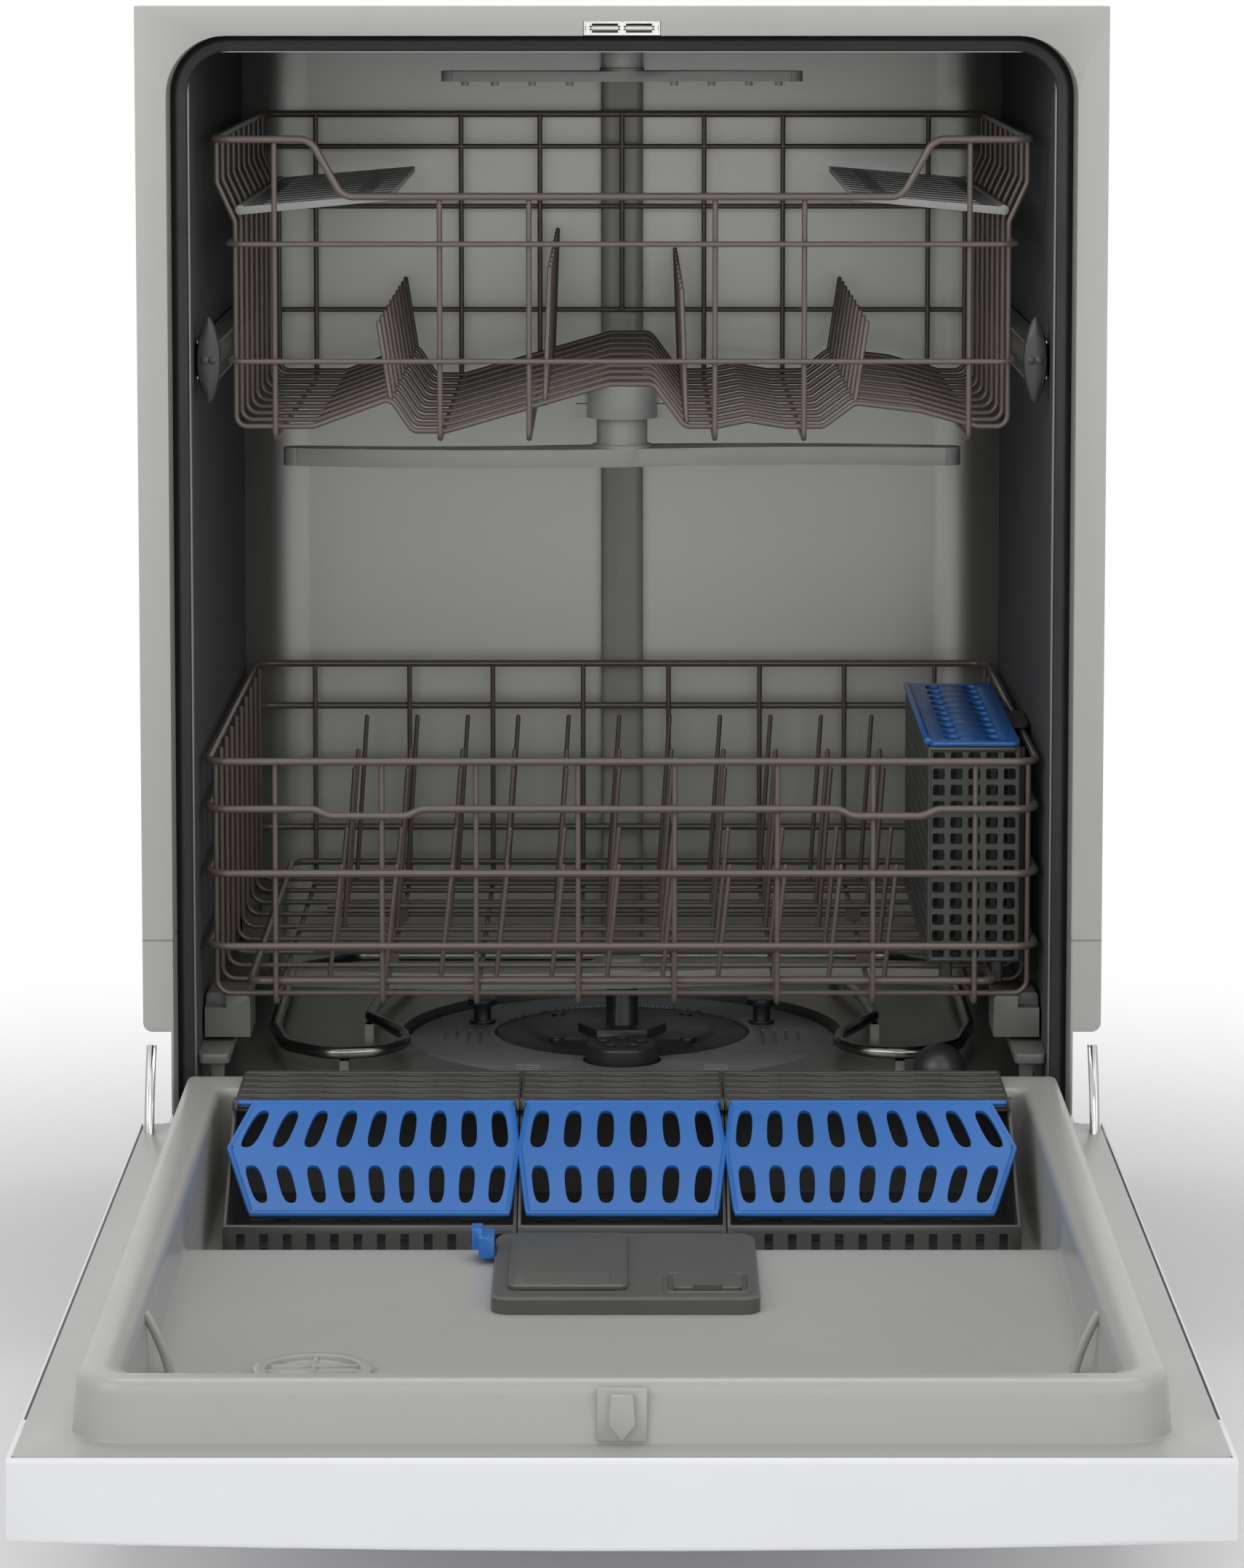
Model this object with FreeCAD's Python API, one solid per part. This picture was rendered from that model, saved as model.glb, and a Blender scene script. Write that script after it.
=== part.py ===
import FreeCAD, Part
import math
import os

"""Built-in dishwasher with its door open. Millimetres, +Z up, +Y from the door to the back."""

Vec = FreeCAD.Vector

# ---------------------------------------------------------------- driving dimensions
CABINET_WIDTH = 600.0
CABINET_HEIGHT = 857.0
CABINET_DEPTH = 565.0
DOOR_REACH = 741.0          # frame's front plane to the free end of the open door
DOOR_OVERHANG = 1.5         # door's edge beyond the cabinet's side
SHEET = 1.5                 # sheet metal of frame, tub and base
RUN_GAP = 0.3               # clearance between pieces that slide or turn past each other

OPENING_MARGIN = 19.0       # width of the front frame's side bands
OPENING_TOP_MARGIN = 18.0
OPENING_RADIUS = 37.0
FRAME_FOOT = 217.0          # height where the side bands end
COLLAR_DEPTH = 41.0         # depth of the mouth between frame plane and tub
GASKET_THICK = 8.0
GASKET_WIDTH = 10.5

TUB_FLOOR = 160.0
TUB_BACK_RADIUS = 45.0
TUB_BACK_SPACE = 15.0       # tub's back wall to the cabinet's back
BASIN_DEPTH = 10.0          # round depression in the tub floor
BASIN_RADIUS = 150.0
BASIN_PLACE = 275.0         # its centre behind the frame plane
POST_PLACE = 289.0          # spray column behind the frame plane
SUMP_HOLE_RADIUS = 70.0

PIVOT_AHEAD = 26.0          # door hinge axis ahead of the frame plane
PIVOT_HEIGHT = 135.0
HINGE_PIN_RADIUS = 4.0
DOOR_FLANGE = 160.0         # height of the inner door's flat flange when open
DOOR_TAIL = 20.0            # door behind its hinge axis
DOOR_SIDE_THICK = 42.5
DOOR_BULGE = 4.5            # crown of the outer face
DOOR_SKIN = 1.2
LINER_RIM = 32.0            # rim height above the flange
LINER_WALL = 2.0
LINER_EDGE = 27.5           # rim's side short of the door's edge
LINER_END = 25.0            # rim's far face short of the door's free end
LINER_BAND = 26.0
LINER_NEAR_BAND = 12.0
LINER_RADIUS = 28.0
NICHE_START = 24.0          # distances from the hinge axis along the open door
NICHE_END = 315.0
NICHE_FLOOR = 125.0
SHALLOW_START_Z = 165.0
SHALLOW_END_Z = 150.0
CONSOLE_LENGTH = 69.0
CONSOLE_WALL = 2.5
PAN_SPACE = 143.0           # end walls stop here under the inner door's pan
BUTTON_RADIUS = 7.0
KEY_PLACES = (130.0, 180.0)
KEY_SETBACK = 30.0          # from the door's free end
POCKET_HALF = 95.0

RIM_RADIUS = 2.4            # rack rim wire
WIRE_RADIUS = 1.75          # rack lattice wire
TINE_RADIUS = 1.6
RACK_SETBACK = 64.0         # rack fronts behind the frame plane
UPPER_RACK_DEPTH = 464.0
UPPER_RIM = 773.0
UPPER_RIM_LOW = 737.0
UPPER_SIDE_SPACE = 13.0     # upper rack's rim to the tub's wall
UPPER_SHOULDER = 12.0       # side wires step inwards by this below the rim
UPPER_FLOOR = 587.0
LOWER_RACK_DEPTH = 456.0
LOWER_RIM = 378.0
LOWER_SIDE_SPACE = 6.0      # lower rack's rim to the tub's wall
LOWER_FLOOR = 224.5
CROSS_WIRES = 10
FOLD_ROW_PLACES = ((132.0, 312.0), (290.0, 340.0))     # behind the rack's front, and top height
FIXED_ROWS = ((60.0, 300.0), (240.0, 335.0), (416.0, 345.0))
FOLD_ROD_RADIUS = 2.2
CUTLERY_LEFT = 196.0
CUTLERY_RIGHT = 255.0
CUTLERY_START = 24.0
CUTLERY_LENGTH = 268.0
CUTLERY_TOP = 384.0

TRACK_TOP = 192.7
TRACK_WIDTH = 20.0
WHEEL_RADIUS = 11.5
WHEEL_WIDTH = 8.0
WHEEL_PLACES = (46.0, 386.0)     # wheel axles behind the lower rack's front
RAIL_HEIGHT = 24.0
RAIL_SHEET = 1.5
RAIL_LENGTH = 441.0
RAIL_LOW = 622.0
ROLLER_PLACES = (26.0, 186.0)    # wall rollers behind the rail's front end
CARRIER_PLACES = (246.0, 420.0)  # rack wheels behind the rack's front

SPRAY_RADIUS = 234.0
MID_SPRAY_RADIUS = 227.0
TOP_SPRAY_RADIUS = 121.0
MID_SPRAY_PLACE = 272.0
LOWER_SPRAY_LOW = 191.0
MID_SPRAY_LOW = 547.0
TOP_SPRAY_SPACE = 25.0      # top spray arm's underside to the tub's ceiling
POST_RADIUS = 11.0

BASKET_HALF = 235.0
BASKET_CENTRE_HALF = 61.5
BASKET_RISE = 4.5           # grille above the inner door's rim
BASKET_RIDGE = 124.0        # basket's ridge ahead of the frame plane
BASKET_TOE = 214.0
BASKET_FAR = 52.0
LID_SLOPE = 28.0
LID_PIVOT_RISE = 3.0
RINSE_PIVOT = 399.0         # distance from the hinge axis
BASKET_WALL = 2.2
LID_THICK = 2.5
LID_LENGTH = 98.0

DISPENSER_LEFT = -71.0
DISPENSER_RIGHT = 75.0
DISPENSER_NEAR = 442.0      # distances from the hinge axis
DISPENSER_FAR = 302.0
DISPENSER_TOP = 181.0
DISPENSER_LID_THICK = 3.5

FOOT_RADIUS = 17.0
FOOT_STEM_RADIUS = 5.0
KICK_SETBACK = 38.0
KICK_TOP = 88.0
INLET_RADIUS = 13.2         # three-quarter inch hose thread
INLET_LENGTH = 16.0
DRAIN_PORT_RADIUS = 9.5
DRAIN_PORT_LENGTH = 22.0
CABLE_HOLE_RADIUS = 11.0
HOSE_HOLE_RADIUS = 20.0     # holes in the base's rear stiffener
STIFFENER_HEIGHT = 60.0
WORKTOP_HOLE_RADIUS = 2.6
WORKTOP_HOLE_SPAN = 420.0

# ---------------------------------------------------------------- places that follow
FRONT = (DOOR_REACH - CABINET_DEPTH) / 2
BACK = FRONT + CABINET_DEPTH
HALF = CABINET_WIDTH / 2
OPENING_HALF = HALF - OPENING_MARGIN
OPENING_TOP = CABINET_HEIGHT - OPENING_TOP_MARGIN
TUB_HALF = OPENING_HALF - GASKET_WIDTH - 0.5
TUB_TOP = OPENING_TOP - GASKET_WIDTH - 0.5
TUB_FRONT = FRONT + COLLAR_DEPTH
TUB_BACK = BACK - TUB_BACK_SPACE
BASIN_FLOOR = TUB_FLOOR - BASIN_DEPTH
BASIN_Y = FRONT + BASIN_PLACE
POST_Y = FRONT + POST_PLACE
PIVOT_Y = FRONT - PIVOT_AHEAD
DOOR_LENGTH = DOOR_REACH - PIVOT_AHEAD
DOOR_HALF = HALF + DOOR_OVERHANG
DOOR_SIDE_LOW = DOOR_FLANGE - DOOR_SIDE_THICK
LINER_TOP = DOOR_FLANGE + LINER_RIM
BASKET_TOP = LINER_TOP + BASKET_RISE
LINER_HALF = DOOR_HALF - LINER_EDGE
LINER_LENGTH = DOOR_LENGTH - LINER_END
RECESS_HALF = LINER_HALF - LINER_BAND
RECESS_END = LINER_LENGTH - LINER_NEAR_BAND
RACK_FRONT = FRONT + RACK_SETBACK
UPPER_BACK = RACK_FRONT + UPPER_RACK_DEPTH
UPPER_HALF = TUB_HALF - UPPER_SIDE_SPACE
UPPER_WAIST = UPPER_HALF - UPPER_SHOULDER
LOWER_HALF = TUB_HALF - LOWER_SIDE_SPACE
LOWER_BACK = RACK_FRONT + LOWER_RACK_DEPTH
MID_Y = FRONT + MID_SPRAY_PLACE
TOP_SPRAY_LOW = TUB_TOP - TOP_SPRAY_SPACE
RAIL_FRONT = RACK_FRONT
RAIL_TOP = RAIL_LOW + RAIL_HEIGHT
RAIL_MID = (RAIL_LOW + RAIL_TOP) / 2
RAIL_WHEEL_RADIUS = RAIL_HEIGHT / 2 - RAIL_SHEET - RUN_GAP
RAIL_WEB = TUB_HALF - 8.5
BASE_HALF = TUB_HALF - 4.0
VALVE_X = -BASE_HALF + 40
VALVE_Z = 60.0
CABLE_X = BASE_HALF - 35
CABLE_Z = 59.0
FOLD_ROD_Z = LOWER_FLOOR + 2 * WIRE_RADIUS + 3.5
CUTLERY_LOW = LOWER_FLOOR + 2 * WIRE_RADIUS + 0.5
KEY_ALONG = DOOR_LENGTH - KEY_SETBACK
LID_PIVOT_Y = FRONT - BASKET_RIDGE
LID_PIVOT_Z = BASKET_TOP + LID_PIVOT_RISE
BASKET_SPANS = ((-BASKET_HALF, -BASKET_CENTRE_HALF - 0.5), (-BASKET_CENTRE_HALF, BASKET_CENTRE_HALF),
                (BASKET_CENTRE_HALF + 0.5, BASKET_HALF))
HINGE_X = OPENING_HALF + SHEET + 5.5    # inner face of the fixed hinge plates
HINGE_SLOT_END = 14.0
SWING_CLEAR = 8.0           # frame stands back this far where the door's tail swings


# ---------------------------------------------------------------- shape helpers
def block(x0, x1, y0, y1, z0, z1):
    """Box between two corners."""
    return Part.makeBox(x1 - x0, y1 - y0, z1 - z0, Vec(x0, y0, z0))


def rod(start, end, radius):
    """Round bar from one point to another."""
    start, end = Vec(*start), Vec(*end)
    return Part.makeCylinder(radius, (end - start).Length, start, end - start)


def disc(x, y, z0, z1, radius):
    """Upright round bar."""
    return Part.makeCylinder(radius, z1 - z0, Vec(x, y, z0))


def point_on(axis, place, a, b):
    """Point at a place along an axis, with its two other coordinates in X, Y, Z order."""
    return Vec(*{"x": (place, a, b), "y": (a, place, b), "z": (a, b, place)}[axis])


def prism(outline, axis, low, high):
    """Flat outline carried along an axis; outline points are the two other coordinates."""
    points = [point_on(axis, low, a, b) for a, b in outline]
    face = Part.Face(Part.makePolygon(points + points[:1]))
    return face.extrude(point_on(axis, high - low, 0, 0))


def mirrored(shape):
    """The same piece on the other side of the middle plane."""
    return shape.mirror(Vec(0, 0, 0), Vec(1, 0, 0))


def both_sides(shapes):
    """Pieces and their mirror images."""
    return shapes + [mirrored(shape) for shape in shapes]


def fused(shapes):
    """One solid from pieces that overlap."""
    return shapes[0].multiFuse(shapes[1:]).removeSplitter()


def without(shape, tools):
    """A shape with pieces cut away."""
    return shape.cut(Part.makeCompound(tools)) if tools else shape


def edges_along(shape, axis, test):
    """Straight edges parallel to an axis whose middle passes a test."""
    index = "xyz".index(axis)
    found = []
    for edge in shape.Edges:
        if len(edge.Vertexes) != 2:
            continue
        run = edge.Vertexes[1].Point - edge.Vertexes[0].Point
        if run.Length > 0 and abs(run[index]) > 0.999 * run.Length:
            if test(edge.CenterOfMass):
                found.append(edge)
    return found


def rounded(shape, axis, radius, test=lambda middle: True):
    """A shape with its edges along an axis rounded where a test holds."""
    return shape.makeFillet(radius, edges_along(shape, axis, test))


def arch(half, low, top, radius, y0, y1):
    """Door-shaped block: square at its foot, round at its two top corners."""
    return rounded(block(-half, half, y0, y1, low, top), "y", radius, lambda m: m.z > top - 1)


def corner_pieces(points, bends, closed):
    """Straight and arc edges through corner points, each corner rounded by its own radius."""
    points = [Vec(*p) for p in points]
    count = len(points)
    edges = []
    corners = range(count) if closed else range(1, count - 1)
    joins = []
    for i in corners:
        before, here, after = points[i - 1], points[i], points[(i + 1) % count]
        into, out = here - before, after - here
        turn = into.getAngle(out)
        if turn < 1e-6:
            continue
        reach = 0.45 * min(into.Length, out.Length)
        radius = min(bends, reach / math.tan(turn / 2))
        setback = radius * math.tan(turn / 2)
        into.normalize()
        out.normalize()
        first, last = here - into * setback, here + out * setback
        inward = (out - into).normalize()
        middle = here + inward * (radius / math.cos(turn / 2) - radius)
        joins.append((first, middle, last))
    start = joins[-1][2] if closed else points[0]
    for first, middle, last in joins:
        if (first - start).Length > 1e-6:
            edges.append(Part.LineSegment(start, first).toShape())
        edges.append(Part.Arc(first, middle, last).toShape())
        start = last
    if not closed:
        edges.append(Part.LineSegment(start, points[-1]).toShape())
    return edges


def bent_wire(points, radius, bend=8.0, closed=False):
    """Round wire bent through corner points."""
    path = Part.Wire(corner_pieces(points, bend, closed))
    edge = path.Edges[0]
    section = Part.makeCircle(radius, edge.valueAt(edge.FirstParameter), edge.tangentAt(edge.FirstParameter))
    return path.makePipeShell([Part.Wire([section])], True, False)


def capsule(x, y, half_length, radius, z0, z1):
    """Oblong cutter, long in Y."""
    body = block(x - radius, x + radius, y - half_length, y + half_length, z0, z1)
    ends = [disc(x, y + side * half_length, z0, z1, radius) for side in (-1, 1)]
    return fused([body] + ends)


def spread(low, high, count):
    """Evenly spaced places from low to high."""
    return [low + (high - low) * i / (count - 1) for i in range(count)]


def along(distance):
    """Y of a place on the open door, from its distance to the hinge axis."""
    return PIVOT_Y - distance


def turned(shape, y, z, degrees):
    """A shape turned about an X axis through a point."""
    copy = shape.copy()
    copy.rotate(Vec(0, y, z), Vec(1, 0, 0), degrees)
    return copy


# ---------------------------------------------------------------- cabinet
def tub():
    """Wash tub: walls with round back corners, floor with a round basin and a hole for the sump."""
    outer_half = TUB_HALF + SHEET
    outer = block(-outer_half, outer_half, TUB_FRONT, TUB_BACK + SHEET, TUB_FLOOR - SHEET, TUB_TOP + SHEET)
    outer = rounded(outer, "z", TUB_BACK_RADIUS + SHEET, lambda m: m.y > TUB_BACK)
    inner = block(-TUB_HALF, TUB_HALF, TUB_FRONT - 9, TUB_BACK, TUB_FLOOR, TUB_TOP)
    inner = rounded(inner, "z", TUB_BACK_RADIUS, lambda m: m.y > TUB_BACK - 1)
    flange = arch(OPENING_HALF + SHEET, TUB_FLOOR - SHEET, OPENING_TOP + SHEET, OPENING_RADIUS + SHEET,
                  TUB_FRONT - SHEET, TUB_FRONT + 0.01)
    basin = disc(0, BASIN_Y, BASIN_FLOOR - SHEET, TUB_FLOOR, BASIN_RADIUS + SHEET)
    hollow = disc(0, BASIN_Y, BASIN_FLOOR, TUB_FLOOR + 1, BASIN_RADIUS)
    drain = disc(0, POST_Y, BASIN_FLOOR - 9, BASIN_FLOOR + 1, SUMP_HOLE_RADIUS)
    shell = fused([outer, flange, basin])
    return [without(shell, [inner, hollow, drain])]


def tracks():
    """Two ledges that the lower rack's wheels roll on, each on three legs."""
    inner = TUB_HALF - TRACK_WIDTH
    low, high = TUB_FRONT + 6, TUB_BACK - TUB_BACK_RADIUS
    bar = block(inner, TUB_HALF - 0.5, low, high, TRACK_TOP - 6, TRACK_TOP)
    bar = rounded(bar, "z", 4.0, lambda m: m.y < low + 1)
    legs = [block(inner + 4, inner + 12, y - 5, y + 5, TUB_FLOOR, TRACK_TOP - 5)
            for y in spread(low + 15, high - 15, 3)]
    return both_sides([fused([bar] + legs)])


def tub_frame():
    """Front frame: face with returned edges, the mouth's collar and the two lower posts."""
    depth = FRONT + COLLAR_DEPTH - SHEET
    tray = block(-HALF, HALF, FRONT, depth - 2, FRAME_FOOT, CABINET_HEIGHT)
    tray = rounded(tray, "y", 6.0, lambda m: m.z < FRAME_FOOT + 1)
    hollow = block(-HALF + SHEET, HALF - SHEET, FRONT + SHEET, depth, FRAME_FOOT - 1, CABINET_HEIGHT - SHEET)
    collar = arch(OPENING_HALF + SHEET, PIVOT_HEIGHT - 20, OPENING_TOP + SHEET, OPENING_RADIUS + SHEET,
                  FRONT, depth)
    mouth = arch(OPENING_HALF, PIVOT_HEIGHT - 30, OPENING_TOP, OPENING_RADIUS, FRONT - 1, depth + 1)
    slot = block(-24, 24, FRONT - 1, FRONT + 12, OPENING_TOP - 1, OPENING_TOP + 9)
    face = fused([tray.cut(hollow), collar])
    swing = block(-HALF, HALF, FRONT - 1, FRONT + SWING_CLEAR, 0, DOOR_FLANGE + 4)
    return [without(face, [mouth, slot, swing])]


def gasket():
    """Door seal round the sides and top of the mouth."""
    y0, y1 = FRONT + COLLAR_DEPTH - SHEET - GASKET_THICK, FRONT + COLLAR_DEPTH - SHEET
    outer = arch(OPENING_HALF, TUB_FLOOR - SHEET, OPENING_TOP, OPENING_RADIUS, y0, y1)
    inner = arch(OPENING_HALF - GASKET_WIDTH, TUB_FLOOR - 9, OPENING_TOP - GASKET_WIDTH,
                 OPENING_RADIUS - GASKET_WIDTH, y0 - 1, y1 + 1)
    return [outer.cut(inner)]


def latch_strike():
    """Strike in the frame's top slot: a bent plate with two rollers on pins."""
    z = OPENING_TOP + 4.6
    plate = block(-23.5, 23.5, FRONT + 9, FRONT + 11, OPENING_TOP + 0.2, OPENING_TOP + 8.8)
    ears = [block(x - 1, x + 1, FRONT + 2, FRONT + 9.5, OPENING_TOP + 0.6, OPENING_TOP + 8.4)
            for x in (-21, 0, 21)]
    rollers = [rod((side * 2.5, FRONT + 4.5, z), (side * 18.5, FRONT + 4.5, z), 2.8) for side in (-1, 1)]
    pin = rod((-22.5, FRONT + 4.5, z), (22.5, FRONT + 4.5, z), 1.2)
    return [fused([plate, pin] + ears + rollers)]


def base_frame():
    """Steel base: two deep side plates, front and rear cross members, rear stiffener."""
    low, top = 26.0, TUB_FLOOR - SHEET
    front, rear = TUB_FRONT + 4, BACK
    sides = [block(x0, x0 + 4, front, rear, low, top) for x0 in (-BASE_HALF - 4, BASE_HALF)]
    cross = [block(-BASE_HALF, BASE_HALF, front + 8, front + 38, low, low + 4),
             block(-BASE_HALF, BASE_HALF, rear - 40, rear - 10, low, low + 4),
             block(-BASE_HALF, BASE_HALF, rear - 4, rear, low, low + STIFFENER_HEIGHT)]
    hose_holes = [rod((x, rear - 6, z), (x, rear + 2, z), HOSE_HOLE_RADIUS)
                  for x, z in ((VALVE_X, VALVE_Z), (CABLE_X, CABLE_Z))]
    soles = [block(side * (BASE_HALF - 30) - 25, side * (BASE_HALF - 30) + 25, y - 22, y + 22, low, low + 4)
             for side in (-1, 1) for y in (front + 22, rear - 28)]
    lugs = [block(min(a, b), max(a, b), FRONT + SWING_CLEAR + 4, front + 30, 90.0, 150.0)
            for a, b in ((-HINGE_X, -OPENING_HALF - SHEET), (HINGE_X, OPENING_HALF + SHEET))]
    ties = [block(min(a, b), max(a, b), front + 4, front + 30, 118.0, 150.0)
            for a, b in ((-OPENING_HALF - 2, -BASE_HALF - 1), (OPENING_HALF + 2, BASE_HALF + 1))]
    return [without(fused(sides + cross + soles + lugs + ties), hose_holes)]


def levelling_feet():
    """Four screw feet under the base, each a threaded stem with a hex collar and a pad."""
    feet = []
    for x in (-BASE_HALF + 30, BASE_HALF - 30):
        for y in (TUB_FRONT + 26, BACK - 28):
            pad = Part.makeCone(FOOT_RADIUS, FOOT_RADIUS - 4, 8.0, Vec(x, y, 0))
            stem = disc(x, y, 7, 26, FOOT_STEM_RADIUS)
            collar = prism([(x + 8 * math.cos(math.radians(60 * k)), y + 8 * math.sin(math.radians(60 * k)))
                            for k in range(6)], "z", 12, 18)
            feet.append(fused([pad, stem, collar]))
    return feet


def kick_plate():
    """Toe kick under the door, with louvres and two screws."""
    y = FRONT + KICK_SETBACK
    plate = block(-HALF + 3, HALF - 3, y, y + 2, 6, KICK_TOP)
    lips = [block(-HALF + 3, HALF - 3, y, y + 6.5, KICK_TOP - 2, KICK_TOP),
            block(-HALF + 3, HALF - 3, y, y + 8, 6, 8)]
    louvres = [block(x - 30, x + 30, y - 1, y + 3, z, z + 3)
               for x in (-160, 0, 160) for z in (34, 42, 50)]
    screws = [fused([rod((x, y - 3, 76), (x, y, 76), 4.5), rod((x, y - 1, 76), (x, y + 1.5, 76), 2)])
              for x in (-240, 240)]
    holes = [rod((x, y - 2, 76), (x, y + 6, 76), 2.0) for x in (-240, 240)]
    stays = [block(x - 8, x + 8, y + 2, TUB_FRONT + 12, 26, 30) for x in (-160, 160)]
    return [without(fused([plate] + lips + stays), louvres + holes)] + screws


def hinge_brackets():
    """Fixed hinge plates beside the mouth, each with the pin that the door turns on."""
    outline = [(PIVOT_Y - 6, PIVOT_HEIGHT - 5), (PIVOT_Y - 6, PIVOT_HEIGHT + 5), (PIVOT_Y, PIVOT_HEIGHT + 8),
               (FRONT + SWING_CLEAR, PIVOT_HEIGHT + 8), (FRONT + SWING_CLEAR + 4, PIVOT_HEIGHT + 15),
               (FRONT + 40, PIVOT_HEIGHT + 15), (FRONT + 40, PIVOT_HEIGHT - 40),
               (FRONT + SWING_CLEAR + 4, PIVOT_HEIGHT - 40), (FRONT + SWING_CLEAR, PIVOT_HEIGHT - 8),
               (PIVOT_Y, PIVOT_HEIGHT - 8)]
    plate = prism(outline, "x", HINGE_X, HINGE_X + 2.5)
    pin = rod((HINGE_X, PIVOT_Y, PIVOT_HEIGHT), (HINGE_X + 9, PIVOT_Y, PIVOT_HEIGHT), HINGE_PIN_RADIUS)
    return both_sides([fused([plate, pin])])


def door_springs():
    """Counterbalance springs along the base, drawn as sleeves with hooked ends."""
    x, z = BASE_HALF + 12, 70.0
    y0, y1 = FRONT + 110, FRONT + 290
    coils = [Part.makeTorus(6.0, 1.4, Vec(x, y, z), Vec(0, 1, 0)) for y in spread(y0, y1, 7)]
    sleeve = rod((x, y0, z), (x, y1, z), 6.6).cut(rod((x, y0 - 1, z), (x, y1 + 1, z), 5.0))
    front_hook = bent_wire([(x, y0 + 2, z + 5.8), (x, y0 - 20, z + 5.8), (x, FRONT + 52, 104),
                            (OPENING_HALF + SHEET - 0.05, FRONT + 52, 104)], 1.4, 3)
    rear_hook = bent_wire([(x, y1 - 2, z + 5.8), (x, y1 + 14, z + 5.8), (x, y1 + 22, z - 4),
                           (BASE_HALF + 4.05, y1 + 22, z - 4)], 1.4, 4)
    return both_sides([fused([sleeve, front_hook, rear_hook] + coils)])


def sump():
    """Sump bowl under the basin, with its rim, pump neck and drain neck."""
    low = BASIN_FLOOR - SHEET - 70
    bowl = Part.makeCone(42, SUMP_HOLE_RADIUS + 8, 70, Vec(0, POST_Y, low))
    hollow = Part.makeCone(39, SUMP_HOLE_RADIUS + 4, 68, Vec(0, POST_Y, low + 3))
    rim = disc(0, POST_Y, BASIN_FLOOR - SHEET - 3, BASIN_FLOOR - SHEET, SUMP_HOLE_RADIUS + 14)
    rim = rim.cut(disc(0, POST_Y, low + 60, BASIN_FLOOR, SUMP_HOLE_RADIUS))
    necks = [rod((35, POST_Y, low + 30), (82, POST_Y, low + 30), 20),
             rod((-35, POST_Y, low + 24), (-76, POST_Y, low + 24), 14)]
    bores = [rod((30, POST_Y, low + 30), (83, POST_Y, low + 30), 17),
             rod((-30, POST_Y, low + 24), (-77, POST_Y, low + 24), 11)]
    return [without(fused([bowl, rim] + necks), [hollow] + bores)]


def wash_pump():
    """Circulation pump: volute at the sump's neck, ribbed motor, shaft boss and feet."""
    z, x0 = BASIN_FLOOR - SHEET - 40, 82.0 + RUN_GAP
    volute = rod((x0, POST_Y, z), (x0 + 34, POST_Y, z), 35)
    motor = rod((x0 + 34, POST_Y, z), (x0 + 118, POST_Y, z), 34)
    ribs = [rod((x, POST_Y, z), (x + 3, POST_Y, z), 36) for x in spread(x0 + 44, x0 + 108, 6)]
    boss = rod((x0 + 118, POST_Y, z), (x0 + 130, POST_Y, z), 16)
    outlet = rod((x0 + 17, POST_Y + 20, z + 26), (x0 + 17, POST_Y + 60, z + 26), 12)
    feet = [block(x - 5, x + 5, POST_Y - 34, POST_Y + 34, 30, z - 26) for x in (x0 + 50, x0 + 104)]
    shelf = block(x0 + 40, BASE_HALF, POST_Y - 40, POST_Y + 40, 27, 31)
    return [fused([volute, motor, boss, outlet, shelf] + ribs + feet)]


def drain_pump():
    """Drain pump: round chamber on the sump's other neck, motor behind it and a hose port."""
    z, x0 = BASIN_FLOOR - SHEET - 46, -76.0 - RUN_GAP
    chamber = rod((x0, POST_Y, z), (x0 - 26, POST_Y, z), 27)
    motor = rod((x0 - 26, POST_Y, z), (x0 - 70, POST_Y, z), 22)
    ribs = [rod((x, POST_Y, z), (x - 3, POST_Y, z), 25) for x in spread(x0 - 34, x0 - 62, 4)]
    boss = block(x0 - 26, x0, POST_Y, POST_Y + 29, z - 13, z + 13)
    port = rod((x0 - 13, POST_Y + 20, z), (x0 - 13, POST_Y + 29 + DRAIN_PORT_LENGTH, z), DRAIN_PORT_RADIUS)
    return [fused([chamber, motor, boss, port] + ribs)]


def inlet_valve():
    """Water inlet valve at the left front: solenoid, body, threaded inlet to the rear and bracket."""
    x, y, z = VALVE_X, FRONT + 120, VALVE_Z
    body = block(x - 16, x + 16, y - 16, y + 16, z - 14, z + 14)
    coil = disc(x, y, z + 14, z + 46, 15)
    inlet = rod((x, y + 15, z), (x, y + 16 + INLET_LENGTH, z), INLET_RADIUS)
    bore = rod((x, y + 8, z), (x, y + 18 + INLET_LENGTH, z), 8.5)
    outlet = rod((x, y - 15, z), (x, y - 40, z), 7)
    bracket = block(-BASE_HALF, x - 10, y - 14, y + 14, z - 14, z - 11)
    return [fused([body, coil, inlet, outlet, bracket]).cut(bore)]


def junction_box():
    """Wiring box at the right front with a cover and a round hole for the supply cable."""
    x1, y, z = BASE_HALF, FRONT + 100, CABLE_Z - 23
    box = block(x1 - 70, x1, y, y + 70, z, z + 46)
    hollow = block(x1 - 68, x1 - 2, y + 2, y + 68, z + 2, z + 44)
    collar = rod((CABLE_X, y + 69, CABLE_Z), (CABLE_X, y + 76, CABLE_Z), CABLE_HOLE_RADIUS + 3)
    mouth = rod((CABLE_X, y + 60, CABLE_Z), (CABLE_X, y + 80, CABLE_Z), CABLE_HOLE_RADIUS)
    screw = rod((CABLE_X, y - 2, CABLE_Z), (CABLE_X, y + 1, CABLE_Z), 4)
    return [without(fused([box, collar, screw]), [hollow, mouth])]


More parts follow.
